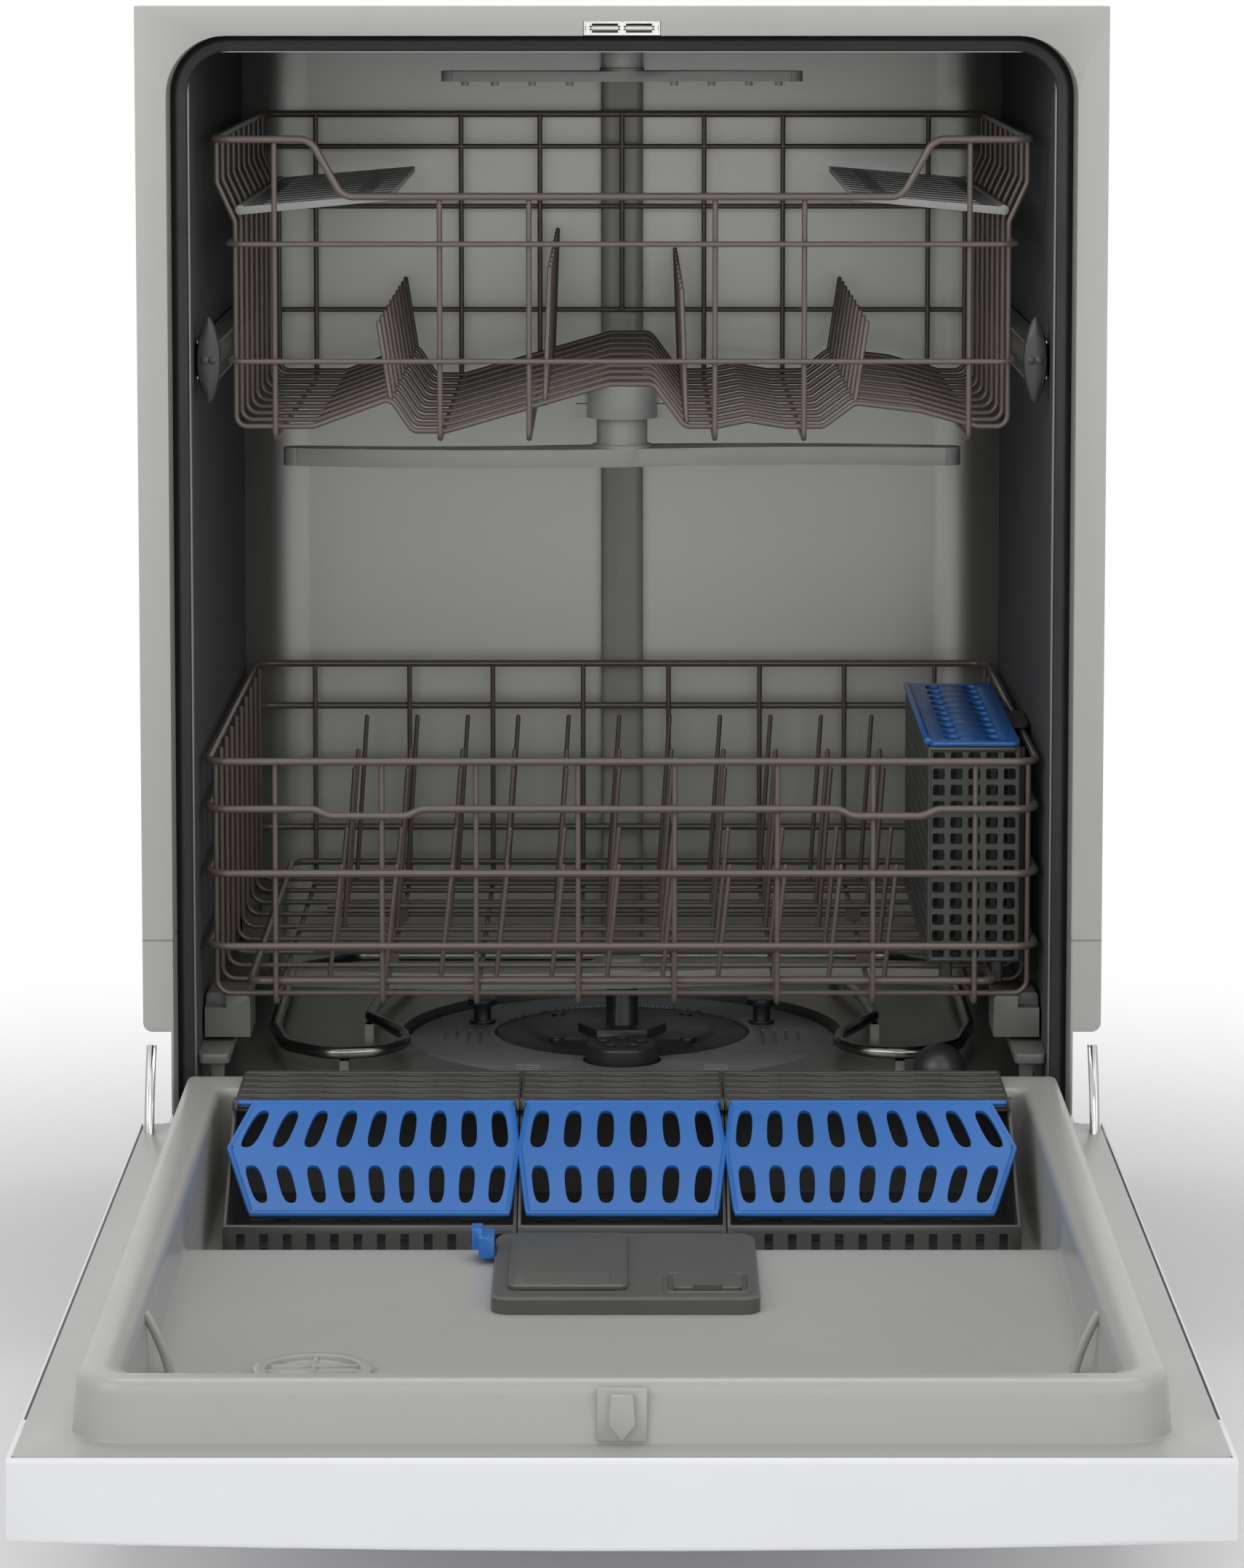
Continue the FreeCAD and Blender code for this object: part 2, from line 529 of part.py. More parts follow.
def worktop_brackets():
    """Two tabs on the frame's top that are screwed to the worktop above."""
    z = CABINET_HEIGHT - SHEET
    tabs = []
    for x in (-WORKTOP_HOLE_SPAN / 2, WORKTOP_HOLE_SPAN / 2):
        tab = block(x - 12, x + 12, FRONT + 3, FRONT + 36, z - 1.6, z)
        drop = block(x - 12, x + 12, FRONT + 2, FRONT + 3.6, z - 12, z)
        hole = disc(x, FRONT + 26, z - 5, z + 5, WORKTOP_HOLE_RADIUS)
        tabs.append(fused([tab, drop]).cut(hole))
    return tabs


def sound_blanket():
    """Felt blanket over the tub's sides, top and back."""
    gap, thick = SHEET + 0.4, 13.0
    y0 = TUB_FRONT + 6
    outer = block(-TUB_HALF - gap - thick, TUB_HALF + gap + thick, y0, BACK, TUB_FLOOR + 6,
                  TUB_TOP + gap + thick)
    outer = rounded(outer, "z", TUB_BACK_RADIUS - 16, lambda m: m.y > BACK - 1)
    outer = rounded(outer, "y", 16.0, lambda m: m.z > TUB_TOP and abs(m.x) > TUB_HALF)
    inner = block(-TUB_HALF - gap, TUB_HALF + gap, y0 - 1, TUB_BACK + gap, TUB_FLOOR, TUB_TOP + gap)
    inner = rounded(inner, "z", TUB_BACK_RADIUS, lambda m: m.y > TUB_BACK)
    return [outer.cut(inner)]


def supply_duct():
    """Water duct up the back wall and forward along the ceiling, with ports for rack and top arm."""
    y0, y1 = TUB_BACK - 17, TUB_BACK - 0.3
    riser = block(-15, 15, y0, y1, TUB_FLOOR + 0.3, TUB_TOP - 0.3)
    riser = rounded(riser, "z", 6.0, lambda m: m.y < y0 + 1)
    roof = block(-12, 12, POST_Y, y1 - 1, TUB_TOP - 10, TUB_TOP - 0.3)
    drop = disc(0, POST_Y, TOP_SPRAY_LOW + 9 + RUN_GAP, TUB_TOP - 0.3, 14)
    port = rod((0, y0 + 1, UPPER_FLOOR + 5), (0, y0 - 3, UPPER_FLOOR + 5), 13)
    return [fused([riser, roof, drop, port])]


# ---------------------------------------------------------------- wash chamber
def ring_blade(radius, hub, low, height, tip_half, root_half, centre_y, bow):
    """Spray arm along X: two gently bowed blades that narrow to round tips, about a hub."""
    steps = 12
    edge = []
    for sign in (1, -1):
        for k in range(steps + 1):
            t = k / steps if sign > 0 else 1 - k / steps
            x = -radius + tip_half + (2 * radius - 2 * tip_half) * t
            middle = bow * math.sin(math.pi * x / radius)
            half = tip_half + (root_half - tip_half) * (1 - abs(x) / radius) ** 1.5
            edge.append((x, centre_y + middle + sign * half))
    blade = prism(edge, "z", low, low + height)
    reach = radius - tip_half
    sweep = bow * math.sin(math.pi * reach / radius)
    tips = [disc(side * reach, centre_y + side * sweep, low, low + height, tip_half) for side in (-1, 1)]
    return [blade, disc(0, centre_y, low, low + height + 2, hub)] + tips


def nozzles(places, centre_y, bow, radius, low, high, size):
    """Small round jets through a spray arm."""
    return [disc(x, centre_y + bow * math.sin(math.pi * x / radius), low, high, size) for x in places]


def lower_spray_arm():
    """Lower spray arm with its hub cap and jets, turning on the column."""
    bow = 10.0
    body = ring_blade(SPRAY_RADIUS, 24, LOWER_SPRAY_LOW, 11, 13, 24, POST_Y, bow)
    cap = Part.makeCone(19, 13, 6, Vec(0, POST_Y, LOWER_SPRAY_LOW + 12))
    jets = nozzles([s * x for s in (-1, 1) for x in (60, 100, 140, 180, 215)], POST_Y, bow, SPRAY_RADIUS,
                   LOWER_SPRAY_LOW + 6, LOWER_SPRAY_LOW + 12, 2.2)
    return [without(fused(body + [cap]), jets)]


def mid_spray_arm():
    """Spray arm under the upper rack."""
    bow = 12.0
    body = ring_blade(MID_SPRAY_RADIUS, 20, MID_SPRAY_LOW, 12, 10, 20, MID_Y, bow)
    neck = disc(0, MID_Y, MID_SPRAY_LOW + 12, UPPER_FLOOR - 8 - RUN_GAP, 17)
    jets = nozzles([s * x for s in (-1, 1) for x in (70, 120, 170, 210)], MID_Y, bow, MID_SPRAY_RADIUS,
                   MID_SPRAY_LOW + 7, MID_SPRAY_LOW + 13, 2.0)
    return [without(fused(body + [neck]), jets)]


def top_spray_arm():
    """Small spray arm under the tub's ceiling, with jets beneath."""
    body = ring_blade(TOP_SPRAY_RADIUS, 15, TOP_SPRAY_LOW, 7, 8, 15, POST_Y, 5.0)
    jets = nozzles((-105, -85, -60, -35, 35, 60, 85, 105), POST_Y, 5.0, TOP_SPRAY_RADIUS,
                   TOP_SPRAY_LOW - 3, TOP_SPRAY_LOW + 1, 2.5)
    return [fused(body + jets)]


def heater():
    """Rod heater round the tub floor, with a loop at each front corner, and its spring clips."""
    z, radius = TUB_FLOOR + 11.0, 4.0
    side = [(-150, 420), (-166, 335), (-171, 271), (-146, 214), (-143, 186), (-160, 158), (-192, 150),
            (-222, 178), (-233, 235), (-233, 300), (-233, 440), (-190, 486)]
    run = [(x, FRONT + y, z) for x, y in side]
    other = [(-x, y, zz) for x, y, zz in reversed(run)]
    start = [(-150, FRONT + 446, TUB_FLOOR + 6.0)]
    end = [(150, FRONT + 446, TUB_FLOOR + 6.0)]
    rod_wire = bent_wire(start + run + other + end, radius, 26.0)
    clips = []
    for x, y in ((-182, FRONT + 151), (-233, FRONT + 268), (-171, FRONT + 268)):
        clips.append(block(x - 3, x + 3, y - 6, y + 6, TUB_FLOOR, z - radius + 0.2))
    return [rod_wire] + both_sides(clips)


def filter_wings():
    """Fine filter: two rounded wings in the basin round the sump cover, with a locking knob each."""
    z = BASIN_FLOOR + 2
    plate = disc(0, BASIN_Y - 5, z, z + 4, BASIN_RADIUS - 6)
    cover = disc(0, POST_Y + 8, z - 1, z + 9, 86 + 1)
    cup = disc(0, POST_Y - 86, z - 1, z + 9, 26)
    middle = BASIN_Y - 5
    slots = [block(side * x - 1, side * x + 1, middle - (128 - x) * 0.62, middle + 30, z + 2.6, z + 5)
             for side in (-1, 1) for x in (96, 104, 112, 120)]
    slots += [block(-8 + side * 62, 8 + side * 62, middle - 99 + k * 6, middle - 97 + k * 6, z + 2.6, z + 5)
              for side in (-1, 1) for k in range(3)]
    wings = without(plate, [cover, cup] + slots)
    return wings.Solids


def filter_knobs():
    """Two black knobs that hold the filter wings down."""
    z, knobs = BASIN_FLOOR + 6, []
    for x in (-96, 96):
        y = POST_Y + 34
        shaft = disc(x, y, z, z + 16, 6)
        top = disc(x, y, z + 13, z + 17, 10)
        foot = disc(x, y, z, z + 2.5, 9)
        knobs.append(fused([shaft, top, foot]))
    return knobs


def sump_cover():
    """Black sump cover with the spray column in its middle and four screws."""
    z = BASIN_FLOOR
    plate = disc(0, POST_Y + 8, z, z + 4.5, 86)
    dome = Part.makeCone(66, 58, 4, Vec(0, POST_Y + 8, z + 4.5))
    foot = prism([(30, POST_Y), (17, POST_Y + 26), (-17, POST_Y + 26), (-30, POST_Y), (-17, POST_Y - 26),
                  (17, POST_Y - 26)], "z", z + 4, z + 13)
    column = disc(0, POST_Y, z + 4, LOWER_SPRAY_LOW - RUN_GAP, POST_RADIUS)
    cup_hole = disc(0, POST_Y - 86, z - 1, z + 9, 26)
    places = [(side * x, POST_Y + y) for side in (-1, 1) for x, y in ((44, -30), (44, 52))]
    body = without(fused([plate, dome, foot, column]), [cup_hole])
    body = without(body, [disc(x, y, z + 5.5, z + 20, 5.2) for x, y in places])
    screws = [disc(x, y, z + 5.5, z + 9.0, 4.4) for x, y in places]
    return [body] + screws


def filter_cup():
    """Lift-out coarse filter: a cup with round holes in its top, which locks by a quarter turn."""
    x, y, z = 0, POST_Y - 86, BASIN_FLOOR + 0.3
    body = disc(x, y, z, z + 17, 24)
    body = body.makeFillet(2.5, [e for e in body.Edges if e.CenterOfMass.z > z + 16 and len(e.Vertexes) == 1])
    hollow = disc(x, y, z + 2, z + 15, 21.5)
    holes = [disc(x + 13 * math.cos(math.radians(90 + 72 * k)), y + 13 * math.sin(math.radians(90 + 72 * k)),
                  z + 10, z + 20, 4.6) for k in range(5)]
    return [without(body, [hollow] + holes)]


def float_dome():
    """Overfill float at the right front: a dome that rides up on water."""
    x, y, z = 205, FRONT + 96, TUB_FLOOR + RUN_GAP
    skirt = disc(x, y, z, z + 12, 17)
    upper = block(x - 20, x + 20, y - 20, y + 20, z + 12, z + 40)
    dome = Part.makeSphere(17, Vec(x, y, z + 12)).common(upper)
    return [fused([skirt, dome])]


# ---------------------------------------------------------------- upper rack and its runners
def upper_floor_line():
    """Outline of the upper rack's floor wires from left to right, as X and Z."""
    rise = UPPER_FLOOR
    return [(-UPPER_WAIST, rise + 3), (-196, rise + 3), (-147, rise + 21), (-133, rise), (-112, rise),
            (-8, rise + 30), (20, rise + 30), (40, rise + 3), (60, rise + 3), (80, rise + 7),
            (104, rise + 3), (128, rise + 3),
            (148, rise + 18), (190, rise + 13), (226, rise + 3), (UPPER_WAIST, rise + 3)]


def upper_rack():
    """Upper rack: rim with a low front, two girth wires, U wires across and along, tines, wheel plates."""
    y0, y1 = RACK_FRONT, UPPER_BACK
    rim = bent_wire([(0, y1, UPPER_RIM), (-UPPER_HALF, y1, UPPER_RIM), (-UPPER_HALF, y0, UPPER_RIM),
                     (-196, y0, UPPER_RIM), (-176, y0, UPPER_RIM_LOW), (176, y0, UPPER_RIM_LOW),
                     (196, y0, UPPER_RIM), (UPPER_HALF, y0, UPPER_RIM), (UPPER_HALF, y1, UPPER_RIM)],
                    RIM_RADIUS, 12.0, True)
    girth = UPPER_WAIST + RIM_RADIUS + WIRE_RADIUS - 0.2
    loops = [bent_wire([(0, y1, z), (-girth, y1, z), (-girth, y0, z), (girth, y0, z), (girth, y1, z)],
                       WIRE_RADIUS, 12.0, True) for z in (707, 633)]
    backs = [rod((-UPPER_HALF + 6, y1 - 3.4, 750), (UPPER_HALF - 6, y1 - 3.4, 750), WIRE_RADIUS)]
    side = [(-UPPER_HALF + 0.5, UPPER_RIM - 1), (-UPPER_HALF + 0.5, 745), (-UPPER_WAIST, 720)]
    outline = side + upper_floor_line() + [(-x, z) for x, z in reversed(side)]
    across = [bent_wire([(x, y, z) for x, z in outline], WIRE_RADIUS, 7.0)
              for y in spread(y0 + 22, y1 - 12, CROSS_WIRES)]
    low = UPPER_FLOOR - 2 * WIRE_RADIUS
    lengthways = []
    for x in (-219, -115, -58.7, 58.7, 115, 219):
        front_top = UPPER_RIM if abs(x) > 196 else UPPER_RIM_LOW
        lengthways.append(bent_wire([(x, y0 + 3.4, front_top - 1), (x, y0 + 3.4, low), (x, y1 - 3.4, low),
                                     (x, y1 - 3.4, UPPER_RIM - 1)], WIRE_RADIUS, 6.0))
    middle_back = rod((0, y1 - 3.4, 633), (0, y1 - 3.4, UPPER_RIM - 1), WIRE_RADIUS)
    plates = []
    for place in CARRIER_PLACES:
        plate = block(girth + WIRE_RADIUS - 0.2, girth + WIRE_RADIUS + 2.2, y0 + place - 16, y0 + place + 16,
                      RAIL_LOW - 4, RAIL_TOP + 4)
        plate = rounded(plate, "x", 8.0)
        pin = rod((girth + WIRE_RADIUS, y0 + place, RAIL_MID), (RAIL_WEB - 1.6, y0 + place, RAIL_MID), 3)
        plates.append(fused([plate, pin]))
    return [rim] + loops + backs + across + lengthways + [middle_back] + both_sides(plates) + upper_tines()


def tine(x, y, z, top, lean_x, lean_y):
    """Straight tine that leans to its round-ended top."""
    tip = (x + lean_x, y + lean_y, top)
    return fused([rod((x, y, z), tip, TINE_RADIUS), Part.makeSphere(TINE_RADIUS, Vec(*tip))])


def upper_tines():
    """Four rows of tines along the upper rack."""
    rows = []
    low = UPPER_FLOOR
    for x, base, top, lean in ((-49, low + 16, 690, 3), (41, low + 3, 676, -3),
                               (-147, low + 20, 655, -8), (148, low + 17, 655, 8)):
        for y in spread(RACK_FRONT + 22, UPPER_BACK - 12, CROSS_WIRES):
            rows.append(tine(x, y + 3, base, top, lean, 10))
    return rows


def cup_shelf():
    """Left fold-up cup shelf: a comb-edged plate with slots and a hinge bar."""
    y0, y1 = RACK_FRONT + 30, UPPER_BACK - 30
    x0, x1, z = -UPPER_WAIST + 2.7, -147.0, 727.0
    outline = [(x0, z - 3), (x1, z + 6), (x1, z + 10), (x0, z + 2)]
    plate = prism(outline, "y", y0, y1)
    teeth = [block(x1 - 14, x1 + 1, y, y + 9, z - 5, z + 14) for y in spread(y0 + 14, y1 - 23, 12)]
    slots = [block(x0 + 14, x1 - 24, y, y + 10, z - 6, z + 14) for y in spread(y0 + 14, y1 - 24, 12)]
    bar = rod((x0, y0, z), (x0, y1, z), 3.2)
    return fused([without(plate, teeth + slots), bar])


def cup_shelf_left():
    """Left cup shelf."""
    return [cup_shelf()]


def cup_shelf_right():
    """Right cup shelf."""
    return [mirrored(cup_shelf())]


def mid_feed():
    """Feed pipe under the upper rack: hub over the spray arm, wing nut and a pipe to the back duct."""
    z0 = UPPER_FLOOR - 8
    hub = disc(0, MID_Y, z0, z0 + 24, 24)
    wings = [block(-31, 31, MID_Y - 4, MID_Y + 4, z0, z0 + 9)]
    end = TUB_BACK - 17 - 3 - RUN_GAP
    pipe = rod((0, MID_Y + 10, UPPER_FLOOR + 5), (0, end, UPPER_FLOOR + 5), 10.5)
    flare = rod((0, end - 8, UPPER_FLOOR + 5), (0, end, UPPER_FLOOR + 5), 13)
    clips = [block(-1.5 + x, 1.5 + x, MID_Y - 6, MID_Y + 6, z0 + 10, z0 + 24) for x in (-24, 24)]
    return [fused([hub, pipe, flare] + wings + clips)]


def rack_rails():
    """Two rails between rack wheels and wall rollers: an upright web with flanges on both sides."""
    y0, y1 = RAIL_FRONT, RAIL_FRONT + RAIL_LENGTH
    web = block(RAIL_WEB - SHEET / 2, RAIL_WEB + SHEET / 2, y0, y1, RAIL_LOW, RAIL_TOP)
    flanges = [block(RAIL_WEB - 7.5, RAIL_WEB + 6.5, y0, y1, z, z + RAIL_SHEET)
               for z in (RAIL_LOW, RAIL_TOP - RAIL_SHEET)]
    stop = block(RAIL_WEB - 7.0, RAIL_WEB + 6.0, y1 - SHEET, y1, RAIL_LOW, RAIL_TOP)
    return both_sides([fused([web, stop] + flanges)])


def rail_caps():
    """Lens-shaped end caps on the rails' front ends, with a square window."""
    y0, y1 = RAIL_FRONT - 5, RAIL_FRONT - 0.2
    x0, x1 = RAIL_WEB - 9.0, RAIL_WEB + 7.0
    z0, z1 = RAIL_MID - 28, RAIL_MID + 28
    middle = (x0 + x1) / 2
    outline = [(middle, z0), (x1, z0 + 18), (x1, z1 - 18), (middle, z1), (x0, z1 - 18), (x0, z0 + 18)]
    plate = prism(outline, "y", y0, y1)
    window = block(middle - 3.5, middle + 3.5, y0 - 1, y1 + 1, RAIL_MID - 4, RAIL_MID + 6)
    return both_sides([plate.cut(window)])


def rack_wheels(place):
    """Pair of upper rack wheels on one axle line, running inside the rails."""
    x0, x1 = RAIL_WEB - 7.2, RAIL_WEB - SHEET / 2 - 0.5
    y = RACK_FRONT + place
    wheel = rod((x0, y, RAIL_MID), (x1, y, RAIL_MID), RAIL_WHEEL_RADIUS)
    bore = rod((x0 - 1, y, RAIL_MID), (x1 + 1, y, RAIL_MID), 3.05)
    return both_sides([wheel.cut(bore)])


def wall_rollers(place):
    """Pair of rollers on stub axles at the tub's walls, carrying the rails."""
    x0, x1 = RAIL_WEB + SHEET / 2 + 0.5, RAIL_WEB + 6.2
    y = RAIL_FRONT + place
    roller = rod((x0, y, RAIL_MID), (x1, y, RAIL_MID), RAIL_WHEEL_RADIUS)
    stub = rod((x1 - 1, y, RAIL_MID), (TUB_HALF - RUN_GAP, y, RAIL_MID), 5.0)
    return both_sides([fused([roller, stub])])


# ---------------------------------------------------------------- lower rack
def lower_rack():
    """Lower rack: rim, three girth wires, bottom frame, U wires across and along, fixed tines."""
    y0, y1, half = RACK_FRONT, LOWER_BACK, LOWER_HALF
    rim = bent_wire([(0, y1, LOWER_RIM), (-half, y1, LOWER_RIM), (-half, y0, LOWER_RIM),
                     (half, y0, LOWER_RIM), (half, y1, LOWER_RIM)], RIM_RADIUS, 14.0, True)
    dip = [(-196, 0), (-186, -4.5), (-137, -4.5), (-128, 0), (138, 0), (147, -4.5), (191, -4.5), (201, 0)]
    girth = LOWER_RIM - 30.5
    second = bent_wire([(0, y1, girth), (-half, y1, girth), (-half, y0, girth)]
                       + [(x, y0, girth + drop) for x, drop in dip]
                       + [(half, y0, girth), (half, y1, girth)], RIM_RADIUS, 14.0, True)
    loops = [bent_wire([(0, y1, z), (-half, y1, z), (-half, y0, z), (half, y0, z), (half, y1, z)],
                       RIM_RADIUS, 14.0, True) for z in (LOWER_FLOOR + 81.5, LOWER_FLOOR + 34.5)]
    inset = half - RIM_RADIUS - WIRE_RADIUS + 0.2
    across = [bent_wire([(-inset, y, LOWER_RIM - 1), (-inset, y, LOWER_FLOOR), (inset, y, LOWER_FLOOR),
                         (inset, y, LOWER_RIM - 1)], WIRE_RADIUS, 9.0)
              for y in spread(y0 + 22, y1 - 22, CROSS_WIRES)]
    low = LOWER_FLOOR - 2 * WIRE_RADIUS + 0.2
    lengthways = [bent_wire([(x, y0 + 3.9, LOWER_RIM - 1), (x, y0 + 3.9, low), (x, y1 - 3.9, low),
                             (x, y1 - 3.9, LOWER_RIM - 1)], WIRE_RADIUS, 6.0)
                  for x in (-221, -153, -93, -28, 33.5, 99, 160, 225)]
    frame_z = LOWER_FLOOR + 2 * WIRE_RADIUS + 7
    frame_wire = bent_wire([(0, y1 - 9, frame_z), (-238, y1 - 9, frame_z), (-238, y0 + 9, frame_z),
                            (238, y0 + 9, frame_z), (238, y1 - 9, frame_z)], RIM_RADIUS, 10.0, True)
    tines = [tine(x, RACK_FRONT + place, LOWER_FLOOR, top, 8, 0)
             for place, top in FIXED_ROWS for x in spread(-190, 170, 11)]
    rows = [rod((-222, RACK_FRONT + place, LOWER_FLOOR + 0.1), (226, RACK_FRONT + place, LOWER_FLOOR + 0.1),
                WIRE_RADIUS) for place, top in FIXED_ROWS]
    saddle_top = FOLD_ROD_Z - FOLD_ROD_RADIUS - RUN_GAP
    saddles = [block(x - 5, x + 5, y0 + place - 3, y0 + place + 3, low, saddle_top)
               for place, top in FOLD_ROW_PLACES for x in (-153, 160)]
    return [rim, second, frame_wire] + loops + across + lengthways + tines + rows + saddles


def fold_tines():
    """Two fold-down tine rows, each on its own hinge rod along X."""
    rows = []
    z = FOLD_ROD_Z
    for place, top in FOLD_ROW_PLACES:
        y = RACK_FRONT + place
        bar = rod((-204, y, z), (184, y, z), FOLD_ROD_RADIUS)
        pins = [tine(x, y, z, top, 8, 0) for x in spread(-190, 170, 11)]
        rows.append([fused([bar] + pins)])
    return rows


def wheel_housings():
    """Stepped plastic blocks under the lower rack that hold its wheels."""
    blocks = []
    top = LOWER_FLOOR - WIRE_RADIUS - 0.05
    centre = TRACK_TOP + RUN_GAP + WHEEL_RADIUS
    inner, outer = TUB_HALF - 31.0, TUB_HALF - 1.8
    for place in WHEEL_PLACES:
        y = RACK_FRONT + place
        body = block(inner, outer, y - 24, y + 24, TRACK_TOP + 3, top)
        body = rounded(body, "y", 3.0, lambda m: m.z > top - 1)
        well = rod((TUB_HALF - 14.5, y, centre), (outer - 1.4, y, centre), WHEEL_RADIUS + 0.9)
        throat = block(TUB_HALF - 14.5, outer - 1.4, y - WHEEL_RADIUS - 0.9, y + WHEEL_RADIUS + 0.9,
                       TRACK_TOP, centre)
        pin = rod((TUB_HALF - 15, y, centre), (outer - 1, y, centre), 3)
        notch = block(TUB_HALF - 15.5, outer + 1, y - 25, y - 14, top - 8, top + 1)
        blocks.append(fused([without(body, [well, throat, notch]), pin]))
    return both_sides(blocks)


def lower_wheels(place):
    """Pair of lower rack wheels on one axle line."""
    y, z = RACK_FRONT + place, TRACK_TOP + RUN_GAP + WHEEL_RADIUS
    x0 = TUB_HALF - 13.0
    wheel = rod((x0, y, z), (x0 + WHEEL_WIDTH, y, z), WHEEL_RADIUS)
    bore = rod((x0 - 1, y, z), (x0 + WHEEL_WIDTH + 1, y, z), 3.05)
    return both_sides([wheel.cut(bore)])


def cutlery_basket():
    """Slotted cutlery basket with partitions, feet and a tab over the rack's rim."""
    y0 = RACK_FRONT + CUTLERY_START
    y1 = y0 + CUTLERY_LENGTH
    low = CUTLERY_LOW + 16
    outer = block(CUTLERY_LEFT, CUTLERY_RIGHT, y0, y1, low, CUTLERY_TOP)
    outer = rounded(outer, "z", 6.0)
    inner = block(CUTLERY_LEFT + 2, CUTLERY_RIGHT - 2, y0 + 2, y1 - 2, low + 2, CUTLERY_TOP + 1)
    inner = rounded(inner, "z", 4.0)
    side_slots = [block(CUTLERY_LEFT - 1, CUTLERY_RIGHT + 1, y, y + 12, z, z + 34)
                  for y in spread(y0 + 14, y1 - 26, 12) for z in (low + 14, low + 56, low + 98)]
    end_slots = [block(x, x + 8, y0 - 1, y1 + 1, z, z + 34)
                 for x in spread(CUTLERY_LEFT + 10, CUTLERY_RIGHT - 18, 3)
                 for z in (low + 14, low + 56, low + 98)]
    floor_slots = [block(CUTLERY_LEFT + 8, CUTLERY_RIGHT - 8, y, y + 10, low - 1, low + 3)
                   for y in spread(y0 + 14, y1 - 24, 12)]
    shell = without(outer, [inner] + side_slots + end_slots + floor_slots)
    walls = [block(CUTLERY_LEFT + 1, CUTLERY_RIGHT - 1, y, y + 2, low + 1, CUTLERY_TOP - 6)
             for y in (y0 + 66, y0 + 134, y0 + 202)]
    feet = [block(x, x + 8, y, y + 14, CUTLERY_LOW, low + 1)
            for x in (CUTLERY_LEFT + 8, CUTLERY_RIGHT - 31) for y in (y0 + 14, y1 - 28)]
    tab = block(CUTLERY_RIGHT - 3, LOWER_HALF + 4, y0 + 100, y0 + 160, LOWER_RIM + RIM_RADIUS + 0.4,
                CUTLERY_TOP)
    return [fused([shell, tab] + walls + feet)]


def cutlery_lid():
    """Hinged lid of the cutlery basket with oblong slots."""
    y0, y1 = RACK_FRONT + CUTLERY_START, RACK_FRONT + CUTLERY_START + CUTLERY_LENGTH
    z = CUTLERY_TOP + RUN_GAP
    plate = rounded(block(CUTLERY_LEFT + 1, CUTLERY_RIGHT, y0, y1, z, z + LID_THICK), "z", 5.0)
    slots = [capsule(x, y, 4.5, 5.0, z - 1, z + 6)
             for y in spread(y0 + 20, y1 - 20, 10) for x in (CUTLERY_LEFT + 17, CUTLERY_RIGHT - 16)]
    barrel = rod((CUTLERY_LEFT, y0 + 6, z + 2.2), (CUTLERY_LEFT, y1 - 6, z + 2.2), 2.2)
    return [fused([without(plate, slots), barrel])]


# ---------------------------------------------------------------- door
def door_section(inset, top):
    """Cross outline of the door: straight sides and a crowned outer face, as a face at Y zero."""
    half, low = DOOR_HALF - inset, DOOR_SIDE_LOW + inset
    left, right = Vec(-half, 0, low), Vec(half, 0, low)
    edges = [Part.Arc(left, Vec(0, 0, low - DOOR_BULGE), right).toShape(),
             Part.LineSegment(right, Vec(half, 0, top)).toShape(),
             Part.LineSegment(Vec(half, 0, top), Vec(-half, 0, top)).toShape(),
             Part.LineSegment(Vec(-half, 0, top), left).toShape()]
    return Part.Face(Part.Wire(edges))


def door_body(inset, top, start, end):
    """Door cross section carried along the open door between two distances from the hinge axis."""
    face = door_section(inset, top)
    face.translate(Vec(0, along(end), 0))
    return face.extrude(Vec(0, end - start, 0))


def hinge_slots():
    """Cutters for the slots in the door's tail that hinge brackets and arms pass through."""
    slot = block(HINGE_X - RUN_GAP - 1, HINGE_X + 12, along(HINGE_SLOT_END), along(-DOOR_TAIL - 1),
                 PIVOT_HEIGHT - 10, DOOR_FLANGE + 1)
    return [slot, mirrored(slot)]


def outer_panel():
    """Outer door panel: a folded steel pan."""
    end = DOOR_LENGTH - CONSOLE_LENGTH - RUN_GAP
    pan = door_body(0, DOOR_FLANGE, -DOOR_TAIL, end)
    hollow = door_body(DOOR_SKIN, DOOR_FLANGE + 1, -DOOR_TAIL + DOOR_SKIN, end - DOOR_SKIN)
    low_end = block(-DOOR_HALF + DOOR_SKIN, DOOR_HALF - DOOR_SKIN, along(end + 1), along(end - 2),
                    PAN_SPACE, DOOR_FLANGE + 1)
    return [without(pan, [hollow, low_end] + hinge_slots())]


def face_height(x):
    """Height of the door's outer face at a distance from its middle, near enough for short spans."""
    return DOOR_SIDE_LOW - DOOR_BULGE * (1 - (x / DOOR_HALF) ** 2)


